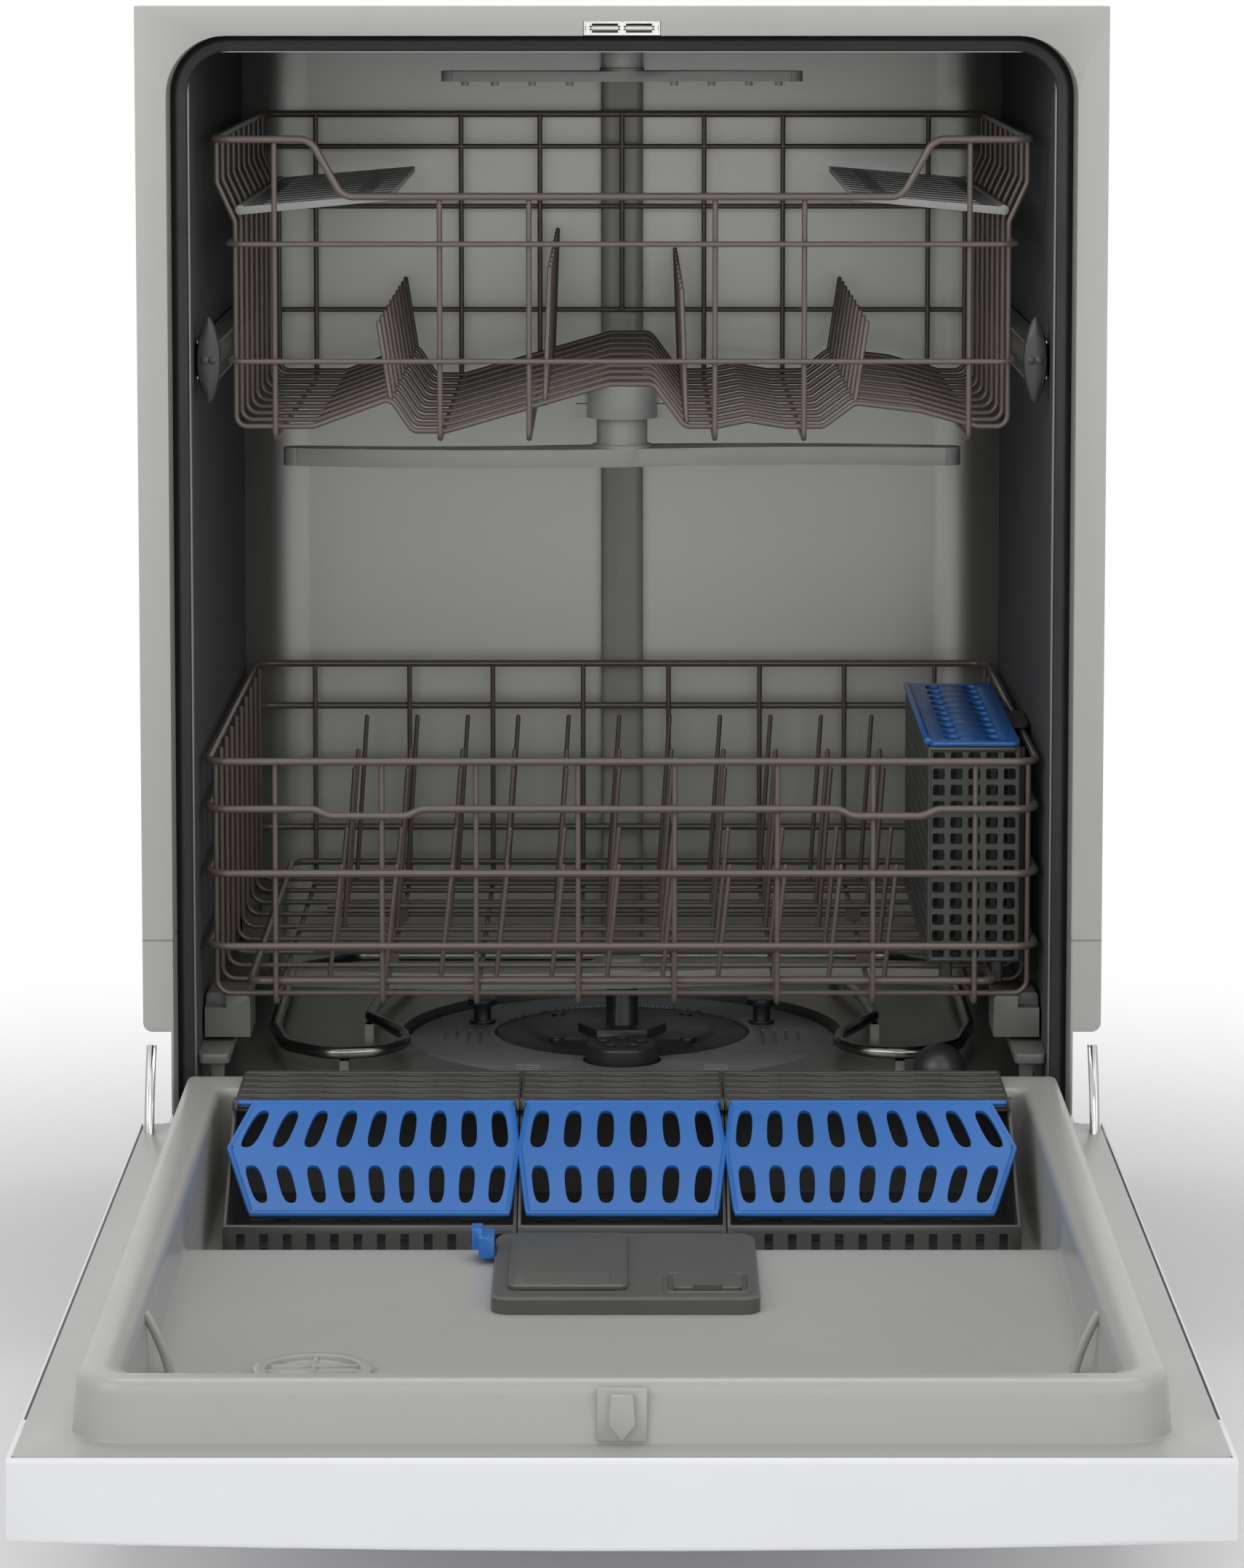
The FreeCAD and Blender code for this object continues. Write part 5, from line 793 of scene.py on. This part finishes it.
def lid_place(name, low_end, high_end):
    """Sloping lid: straight from its hinge line to its toe, its ends drawn in towards both long edges."""
    low, high = corners(name)
    start, end = high[1:] - 2 * MM, low[1:] + 1.4 * MM
    normal = np.array([start[1] - end[1], end[0] - start[0]])
    normal = -normal / np.linalg.norm(normal)

    def place(u, v, w):
        shape = np.where(v < 0.42, (1 - v / 0.42) * 13 * MM, (v - 0.42) / 0.58 * 16 * MM)
        left = low[0] + shape * low_end
        right = high[0] - shape * high_end
        x = left + (right - left) * u
        y = start[0] + (end[0] - start[0]) * v + normal[0] * w
        z = start[1] + (end[1] - start[1]) * v + normal[1] * w
        return np.stack([x, y, z], -1)
    return place


class DISHWASHER_OT_liner(bpy.types.Operator):
    """Inner door: flange, soft raised rim and the recess with its niche, as rings drawn in from the outside

    Each ring is a rounded plan with its own height. Inside the recess a ring's height follows the floor: deep
    under the baskets, up a ramp, then falling gently to the near end.
    """
    bl_idname = "dishwasher.liner"
    bl_label = "Inner door"

    def execute(self, context):
        low, high = corners("door_liner")
        top = high[2] - 2 * MM
        rim_low = np.array([low[0] + 25 * MM, low[1] + 21.5 * MM])
        rim_high = np.array([high[0] - 25 * MM, high[1]])
        well_low, well_high = rim_low + (26 * MM, 12 * MM), rim_high - (26 * MM, 40 * MM)
        ramp_end = corners("dispenser")[0][1] + 127 * MM
        floor_y = np.array([well_low[1], ramp_end, ramp_end + 32 * MM, well_high[1]])
        floor_z = np.array([top - 42 * MM, top - 27 * MM, low[2] + 1.8 * MM, low[2] + 1.8 * MM])

        def floor(plan, extra=0.0):
            near = [np.interp(plan[:, 1] + shift, floor_y, floor_z) for shift in np.linspace(-5, 5, 9) * MM]
            return np.mean(near, 0) + extra

        def ring(start, end, inset, radius, far):
            return rounded_plan(start + inset * MM, end - inset * MM, max(radius - inset, 1) * MM, 7,
                                max(far - inset, 1) * MM, 70)

        flange_low, flange_high = low[:2], high[:2] + (0, 0.5 * MM)
        layers = [(ring(flange_low, flange_high, 0, 3, 1), low[2] + 35.5 * MM),
                  (ring(flange_low, flange_high, 0, 3, 1), low[2] + 37 * MM),
                  (ring(rim_low, rim_high, -2, 28, 3), low[2] + 37 * MM),
                  (ring(rim_low, rim_high, -0.5, 28, 3), low[2] + 37.8 * MM)]
        for inset, drop in ((0, 30), (1.5, 8), (2.2, 4), (3.4, 1.8), (5.4, 0.5), (8, 0), (15, 0)):
            layers.append((ring(rim_low, rim_high, inset, 28, 3), top - drop * MM))
        for inset, drop in ((-4, 0.3), (-2, 1.2), (-0.6, 3), (0, 6)):
            layers.append((ring(well_low, well_high, inset, 22, 8), top - drop * MM))
        for inset, rise in ((0.8, 3.5), (1.8, 1.2), (3.5, 0.2), (5, 0)):
            plan = ring(well_low, well_high, inset, 22, 8)
            layers.append((plan, floor(plan, rise * MM)))
        inner = ring(well_low, well_high, 5, 22, 8)
        for share in (0.96, 0.8, 0.6, 0.4, 0.2, 0.0):
            layers.append((inner * (share, 1), floor(inner)))
        parts = [stacked(layers, caps=False)]
        fin_y = corners("door_vent")[0][1] + 31 * MM
        for side, wall in ((-1, well_low[0]), (1, well_high[0])):
            step = np.linspace(0, 1, 8)
            path = np.column_stack([wall - side * 13 * MM * (1 - step ** 1.5), np.full(8, fin_y),
                                    top - 40 * MM + 36 * MM * step])
            parts.append(carried(path, circle(2.6 * MM, 10, 1.0), (0, 1, 0)))
        piece("liner_shell", parts, material("liner_moulding"), "door", ["door_liner"])
        return {"FINISHED"}


class DISHWASHER_OT_hooks(bpy.types.Operator):
    """Bright hinge hooks beside the mouth: a flat bar curving up and back from each pivot"""
    bl_idname = "dishwasher.hooks"
    bl_label = "Hinge hooks"

    def execute(self, context):
        parts = []
        for side in (-1, 1):
            low, high = one_side("hinge_arms", side)
            x = (low[0] if side > 0 else high[0]) + side * 3.4 * MM
            step = np.linspace(0, 1, 16)
            y = high[1] - 27 * MM + 22 * MM * step ** 2
            z = high[2] - 68 * MM + 67 * MM * step
            path = np.column_stack([np.full(16, x), y, z])
            angle = np.arange(16) * TURN / 16
            flat = np.sign(np.sin(angle)) * np.abs(np.sin(angle)) ** 0.6
            bar = np.stack([2.4 * MM * np.cos(angle), 6.2 * MM * flat], 1)
            parts.append(carried(path, bar, (0, 1, 0)))
        piece("hinge_hooks", parts, material("bright_plate"), "door")
        return {"FINISHED"}


class DISHWASHER_OT_lids(bpy.types.Operator):
    """Blue basket lids: pointed plates with two rows of oblong holes, an edge bead and a hinge rod"""
    bl_idname = "dishwasher.lids"
    bl_label = "Basket lids"

    def execute(self, context):
        lids = (("left", 9, (1.0, 0.3)), ("middle", 6, (0.35, 0.35)), ("right", 9, (0.3, 1.0)))
        for name, count, ends in lids:
            node_name = "basket_lid_" + name
            low, high = corners(node_name)
            parts = pierced(lid_place(node_name, *ends), count, 2, (0.26, 0.34), 2.2 * MM, 3.0)
            line = np.array([(low[0], high[1] - 2 * MM, high[2] - 1.9 * MM),
                             (high[0], high[1] - 2 * MM, high[2] - 1.9 * MM)])
            parts.append(carried(line, circle(1.8 * MM, 10), (0, 0, 1)))
            piece("lid_" + name, parts, material("blue_moulding"), "lid_" + name, [node_name])
        return {"FINISHED"}


class DISHWASHER_OT_baskets(bpy.types.Operator):
    """Door baskets with raised louvres between the rows of their grille"""
    bl_idname = "dishwasher.baskets"
    bl_label = "Door baskets"

    def execute(self, context):
        dress("door_baskets", material("basket_moulding"), sizes().edge_moulding * 0.4, 1)
        dress("dispenser_lever", material("blue_moulding"), sizes().edge_moulding * 0.7)
        high = corners("door_baskets")[1]
        deck = high[2] - 5.5 * MM
        angle = np.linspace(0, TURN / 2, 7)
        profile = np.stack([2.7 * MM * np.cos(angle), 1.1 * MM * np.sin(angle)], 1)
        parts = []
        for name in ("left", "middle", "right"):
            lid_low, lid_high = corners("basket_lid_" + name)
            for y in np.linspace(high[1] - 99.5 * MM, high[1] - 3.5 * MM, 7):
                ends = (lid_low[0] + 1 * MM, lid_high[0] - 1 * MM)
                line = np.array([(x, y, deck - 0.3 * MM) for x in ends])
                parts.append(carried(line, profile, (0, 0, 1)))
        piece("basket_louvres", parts, material("basket_moulding"), "door")
        return {"FINISHED"}


class DISHWASHER_OT_dispenser(bpy.types.Operator):
    """Dispenser: low sloping body with a cup, a ribbed sliding lid and a flip lid with its clip"""
    bl_idname = "dishwasher.dispenser"
    bl_label = "Dispenser"

    def execute(self, context):
        low, high = corners("dispenser")
        near, slope, rise = low[1], 0.006, 9.5 * MM

        def top(plan, extra=0.0):
            return low[2] + rise + (plan[:, 1] - near) * slope + extra

        lid_low, lid_high = corners("detergent_lid")
        flip_low, flip_high = corners("rinse_lid")
        foot = rounded_plan(low[:2], high[:2], 9 * MM)
        brow = rounded_plan(low[:2] + 1.5 * MM, high[:2] - 1.5 * MM, 8 * MM)
        inner = rounded_plan(lid_low[:2] + 6 * MM, lid_high[:2] - 10 * MM, 5 * MM)
        bed = low[2] + (foot[:, 1] - near) * 0.041
        body = stacked([(foot, bed), (foot, top(foot, -1.5 * MM)), (brow, top(brow)), (inner, top(inner)),
                        (inner, top(inner, -8 * MM))])
        border = rounded_plan((flip_low[0] - 3 * MM, flip_low[1] - 2 * MM),
                              (flip_high[0] + 3 * MM, flip_high[1] + 3 * MM), 4 * MM, 8)
        ring = np.column_stack([border, top(border)])
        piece("dispenser_body", [body, carried(ring, circle(1.3 * MM, 8), (0, 0, 1), True)],
              material("dispenser_moulding"), "door", ["dispenser"])
        plate = rounded_plan(lid_low[:2], lid_high[:2], 5 * MM)
        face = rounded_plan(lid_low[:2] + 1.5 * MM, lid_high[:2] - 1.5 * MM, 4 * MM)
        parts = [stacked([(plate, top(plate, 0.4 * MM)), (plate, top(plate, 2.0 * MM)),
                          (face, top(face, 3 * MM))])]
        for y in np.linspace(lid_low[1] + 6 * MM, lid_low[1] + 24 * MM, 7):
            line = np.array([(lid_low[0] + 10 * MM, y), (lid_high[0] - 10 * MM, y)])
            line = np.column_stack([line, top(line, 3 * MM)])
            parts.append(carried(line, circle(1.0 * MM, 6), (0, 0, 1)))
        piece("sliding_lid", parts, material("dispenser_moulding"), "detergent_cover",
              ["detergent_lid"])
        plate = rounded_plan(flip_low[:2] + 1 * MM, flip_high[:2] - 1 * MM, 4 * MM)
        face = rounded_plan(flip_low[:2] + 3 * MM, flip_high[:2] - 3 * MM, 3 * MM)
        clip = rounded_plan((flip_low[0] + 12 * MM, flip_low[1]),
                            (flip_high[0] - 12 * MM, flip_low[1] + 6 * MM), 2 * MM)
        parts = [stacked([(plate, top(plate, 0.4 * MM)), (plate, top(plate, 2.0 * MM)),
                          (face, top(face, 2.8 * MM))]),
                 stacked([(clip, top(clip, 1 * MM)), (clip, top(clip, 4 * MM))])]
        piece("flip_lid", parts, material("dispenser_moulding"), "rinse_cover",
              ["rinse_lid"])
        return {"FINISHED"}


class DISHWASHER_OT_base(bpy.types.Operator):
    """Base, feet, pumps, valve, wiring box and kick plate"""
    bl_idname = "dishwasher.base"
    bl_label = "Base"

    def execute(self, context):
        for name in ("base_frame", "junction_box", "worktop_brackets"):
            dress(name, material("zinc_sheet"), sizes().edge_sheet)
        for name in ("sump", "wash_pump", "drain_pump"):
            dress(name, material("pump_moulding"), sizes().edge_moulding)
        dress("levelling_feet", material("black_moulding"), sizes().edge_moulding)
        dress("inlet_valve", material("console_moulding"), sizes().edge_moulding * 0.6)
        dress("kick_plate", material("door_enamel"), sizes().edge_sheet)
        return {"FINISHED"}


class DISHWASHER_OT_springs(bpy.types.Operator):
    """Door springs: close coils with a straight hook at each end"""
    bl_idname = "dishwasher.springs"
    bl_label = "Door springs"

    def execute(self, context):
        low, high = corners("door_springs")
        wire_radius = sizes().spring_wire / 2
        reach = 6.4 * MM
        parts = []
        for side in (-1, 1):
            x = side * (high[0] - 7.4 * MM)
            z = 70 * MM
            start, end = low[1] + 58 * MM, high[1] - 24 * MM
            turns = (end - start) / (wire_radius * 2.35)
            points, radial = helix((x, z), reach - wire_radius, start, end, turns, per_turn=12)
            parts.append(carried(points, circle(wire_radius, 6), radial))
            hook = np.array([(x, end, z + 5 * MM), (x, high[1] - 8 * MM, z + 5 * MM),
                             (x, high[1] - 2 * MM, z), (x, high[1] - 1.5 * MM, z - 4 * MM)])
            front = np.array([(x, start, z + 5 * MM), (x, start - 18 * MM, z + 6 * MM),
                              (x, low[1] + 3 * MM, 98 * MM), (x, low[1] + 1.5 * MM, 104 * MM)])
            parts += [carried(hook, circle(wire_radius, 8), (1, 0, 0)),
                      carried(front, circle(wire_radius, 8), (1, 0, 0))]
        piece("door_spring_coils", parts, material("bright_plate"), "cabinet", ["door_springs"])
        return {"FINISHED"}


class DISHWASHER_OT_blanket(bpy.types.Operator):
    """Felt blanket bent over the tub, its face swelling between stitched lines"""
    bl_idname = "dishwasher.blanket"
    bl_label = "Sound blanket"

    def execute(self, context):
        low, high = corners("sound_blanket")
        thick, puff = 12.0 * MM, sizes().quilt
        half, top, corner = high[0] - puff, high[2] - puff, 16 * MM
        bend = np.linspace(0, TURN / 4, 9)
        side = np.stack([np.full(70, -half), np.linspace(low[2], top - corner, 70)], 1)
        left = np.stack([-half + corner - corner * np.cos(bend), top - corner + corner * np.sin(bend)], 1)[1:]
        roof = np.stack([np.linspace(-half + corner, half - corner, 60), np.full(60, top)], 1)[1:-1]
        outline = np.concatenate([side, left, roof, (left * (-1, 1))[::-1], (side * (-1, 1))[::-1]])
        inward = np.concatenate([np.tile([1.0, 0.0], (len(side), 1)),
                                 np.stack([np.cos(bend), -np.sin(bend)], 1)[1:],
                                 np.tile([0.0, -1.0], (len(roof), 1)),
                                 np.stack([-np.cos(bend), -np.sin(bend)], 1)[1:][::-1],
                                 np.tile([-1.0, 0.0], (len(side), 1))])
        run = np.concatenate([[0], np.cumsum(np.linalg.norm(np.diff(outline, axis=0), axis=1))])
        depth = np.linspace(low[1], high[1] - 2 * MM, 90)
        cell = 0.11
        swell = (np.abs(np.sin(math.pi * run / cell))[:, None]
                 * np.abs(np.sin(math.pi * (depth - depth[0]) / (depth[-1] - depth[0]) * 4))[None]) ** 0.5
        swell[:, [0, -1]] = 0
        swell[[0, -1]] = 0
        outer = outline[:, None] - inward[:, None] * puff * (swell[..., None] - 0.1)
        inner = np.repeat(outline[:, None] + inward[:, None] * thick, len(depth), axis=1)
        level = np.broadcast_to(depth, swell.shape)
        shell = np.concatenate([np.stack([outer[..., 0], level, outer[..., 1]], -1),
                                np.stack([inner[..., 0], level, inner[..., 1]], -1)[:, ::-1]], axis=1)
        back_u = np.linspace(-half + 4 * MM, half - 4 * MM, 80)
        back_v = np.linspace(low[2], top - 4 * MM, 90)
        plump = (np.abs(np.sin(math.pi * (back_u - back_u[0]) / (back_u[-1] - back_u[0]) * 5))[:, None]
                 * np.abs(np.sin(math.pi * (back_v - back_v[0]) / cell))[None]) ** 0.5
        plump[[0, -1]] = 0
        plump[:, [0, -1]] = 0
        rear = high[1] - puff + puff * (plump - 0.1)
        across, upright = np.meshgrid(back_u, back_v, indexing="ij")
        face = np.stack([across, rear, upright], -1)
        lining = np.stack([across, np.full_like(across, high[1] - puff - 9 * MM), upright], -1)[:, ::-1]
        parts = [grid(shell, round_v=True, caps=True),
                 grid(np.concatenate([face, lining], axis=1), round_v=True, caps=True)]
        blanket = piece("felt_blanket", parts, material("blanket_felt"), "cabinet",
                        ["sound_blanket"])
        return {"FINISHED"}


class DISHWASHER_OT_stage(bpy.types.Operator):
    """Pale floor, soft lamps and the camera"""
    bl_idname = "dishwasher.stage"
    bl_label = "Stage"

    def execute(self, context):
        scene = context.scene
        floor_points = np.array([[(-30, -30, 0), (-30, 30, 0)], [(30, -30, 0), (30, 30, 0)]], float)
        mesh = bpy.data.meshes.new("floor")
        points, faces = grid(floor_points)
        mesh.from_pydata(points.tolist(), [], [face[::-1] for face in faces])
        mesh.update()
        floor = bpy.data.objects.new("floor", mesh)
        scene.collection.objects.link(floor)
        pale = bpy.data.materials.new("pale_floor")
        pale.use_nodes = True
        surface = pale.node_tree.nodes["Principled BSDF"]
        surface.inputs["Base Color"].default_value = (0.86, 0.86, 0.86, 1)
        surface.inputs["Roughness"].default_value = 0.8
        mesh.materials.append(pale)
        floor_tree = pale.node_tree
        seen = node(floor_tree, "ShaderNodeLightPath")
        spot = node(floor_tree, "ShaderNodeNewGeometry")
        away = node(floor_tree, "ShaderNodeVectorMath", operation="LENGTH")
        fade = node(floor_tree, "ShaderNodeMapRange", interpolation_type="SMOOTHSTEP",
                    inputs={"From Min": 0.55, "From Max": 1.5, "To Min": 0.0, "To Max": 1.0})
        share = node(floor_tree, "ShaderNodeMath", operation="MULTIPLY")
        backdrop = node(floor_tree, "ShaderNodeEmission", inputs={"Color": (1, 1, 1, 1), "Strength": 1.0})
        both = node(floor_tree, "ShaderNodeMixShader")
        wire(floor_tree, spot.outputs["Position"], away.inputs[0])
        wire(floor_tree, away.outputs["Value"], fade.inputs["Value"])
        wire(floor_tree, seen.outputs["Is Camera Ray"], share.inputs[0])
        wire(floor_tree, fade.outputs["Result"], share.inputs[1])
        wire(floor_tree, share.outputs[0], both.inputs["Fac"])
        wire(floor_tree, surface.outputs[0], both.inputs[1])
        wire(floor_tree, backdrop.outputs[0], both.inputs[2])
        wire(floor_tree, both.outputs[0], floor_tree.nodes["Material Output"].inputs["Surface"])
        world = bpy.data.worlds.new("studio")
        scene.world = world
        world.use_nodes = True
        tree = world.node_tree
        ambient = tree.nodes["Background"]
        ambient.inputs["Color"].default_value = (1, 1, 1, 1)
        path = node(tree, "ShaderNodeLightPath")
        shown = node(tree, "ShaderNodeMath", operation="ADD", use_clamp=True)
        plain = node(tree, "ShaderNodeMath", operation="ADD", use_clamp=True)
        level = node(tree, "ShaderNodeMapRange", inputs={"To Min": 0.42, "To Max": 1.0})
        wire(tree, path.outputs["Is Camera Ray"], shown.inputs[0])
        wire(tree, path.outputs["Is Glossy Ray"], shown.inputs[1])
        wire(tree, shown.outputs[0], plain.inputs[0])
        wire(tree, path.outputs["Is Transmission Ray"], plain.inputs[1])
        wire(tree, plain.outputs[0], level.inputs["Value"])
        wire(tree, level.outputs["Result"], ambient.inputs["Strength"])
        lamps = [("key", (-2.1, -2.6, 1.9), 2.2, 34), ("fill", (1.9, -2.2, 1.6), 2.2, 20),
                 ("over", (0.0, 0.2, 2.9), 2.2, 32), ("low", (0.0, -3.2, 0.9), 1.6, 9)]
        for name, place, size, power in lamps:
            light = bpy.data.lights.new(name, "AREA")
            light.size, light.energy = size, power
            lamp = bpy.data.objects.new(name, light)
            lamp.location = place
            aim = np.array([0, 0.2, 0.45]) - np.array(place)
            lamp.rotation_euler = Vector(aim.tolist()).to_track_quat("-Z", "Y").to_euler()
            scene.collection.objects.link(lamp)
        view = bpy.data.cameras.new("view")
        view.lens, view.sensor_width, view.shift_y = LENS, SENSOR, VIEW_SHIFT
        view.clip_start, view.clip_end = 0.1, 100
        camera = bpy.data.objects.new("view", view)
        camera.location = (0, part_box("tub_frame")[0].y - VIEW_BACK, VIEW_HEIGHT)
        camera.rotation_euler = (math.radians(90 - VIEW_TILT), 0, 0)
        scene.collection.objects.link(camera)
        scene.camera = camera
        scene.view_settings.view_transform = "Standard"
        return {"FINISHED"}


OPERATORS = (DISHWASHER_OT_tub, DISHWASHER_OT_seal, DISHWASHER_OT_racks, DISHWASHER_OT_lattice,
             DISHWASHER_OT_caps, DISHWASHER_OT_wash, DISHWASHER_OT_door, DISHWASHER_OT_liner,
             DISHWASHER_OT_hooks, DISHWASHER_OT_lids, DISHWASHER_OT_baskets, DISHWASHER_OT_dispenser,
             DISHWASHER_OT_base, DISHWASHER_OT_springs, DISHWASHER_OT_blanket, DISHWASHER_OT_stage)


class DISHWASHER_PT_finishes(bpy.types.Panel):
    """Finishes of the dishwasher"""
    bl_label = "Dishwasher"
    bl_space_type = "VIEW_3D"
    bl_region_type = "UI"
    bl_category = "Dishwasher"

    def draw(self, context):
        for group in (context.scene.dishwasher_colours, context.scene.dishwasher_sizes):
            for key in group.bl_rna.properties.keys():
                if key not in ("rna_type", "name"):
                    self.layout.prop(group, key)
        for operator in OPERATORS:
            self.layout.operator(operator.bl_idname)


CLASSES = (DishwasherColours, DishwasherSizes) + OPERATORS + (DISHWASHER_PT_finishes,)


def register():
    for cls in CLASSES:
        bpy.utils.register_class(cls)
    bpy.types.Scene.dishwasher_colours = bpy.props.PointerProperty(type=DishwasherColours)
    bpy.types.Scene.dishwasher_sizes = bpy.props.PointerProperty(type=DishwasherSizes)


def unregister():
    del bpy.types.Scene.dishwasher_sizes
    del bpy.types.Scene.dishwasher_colours
    for cls in reversed(CLASSES):
        bpy.utils.unregister_class(cls)


def main():
    """Runs every operator in order."""
    register()
    for operator in OPERATORS:
        group, name = operator.bl_idname.split(".")
        getattr(getattr(bpy.ops, group), name)()


if __name__ == "__main__":
    main()
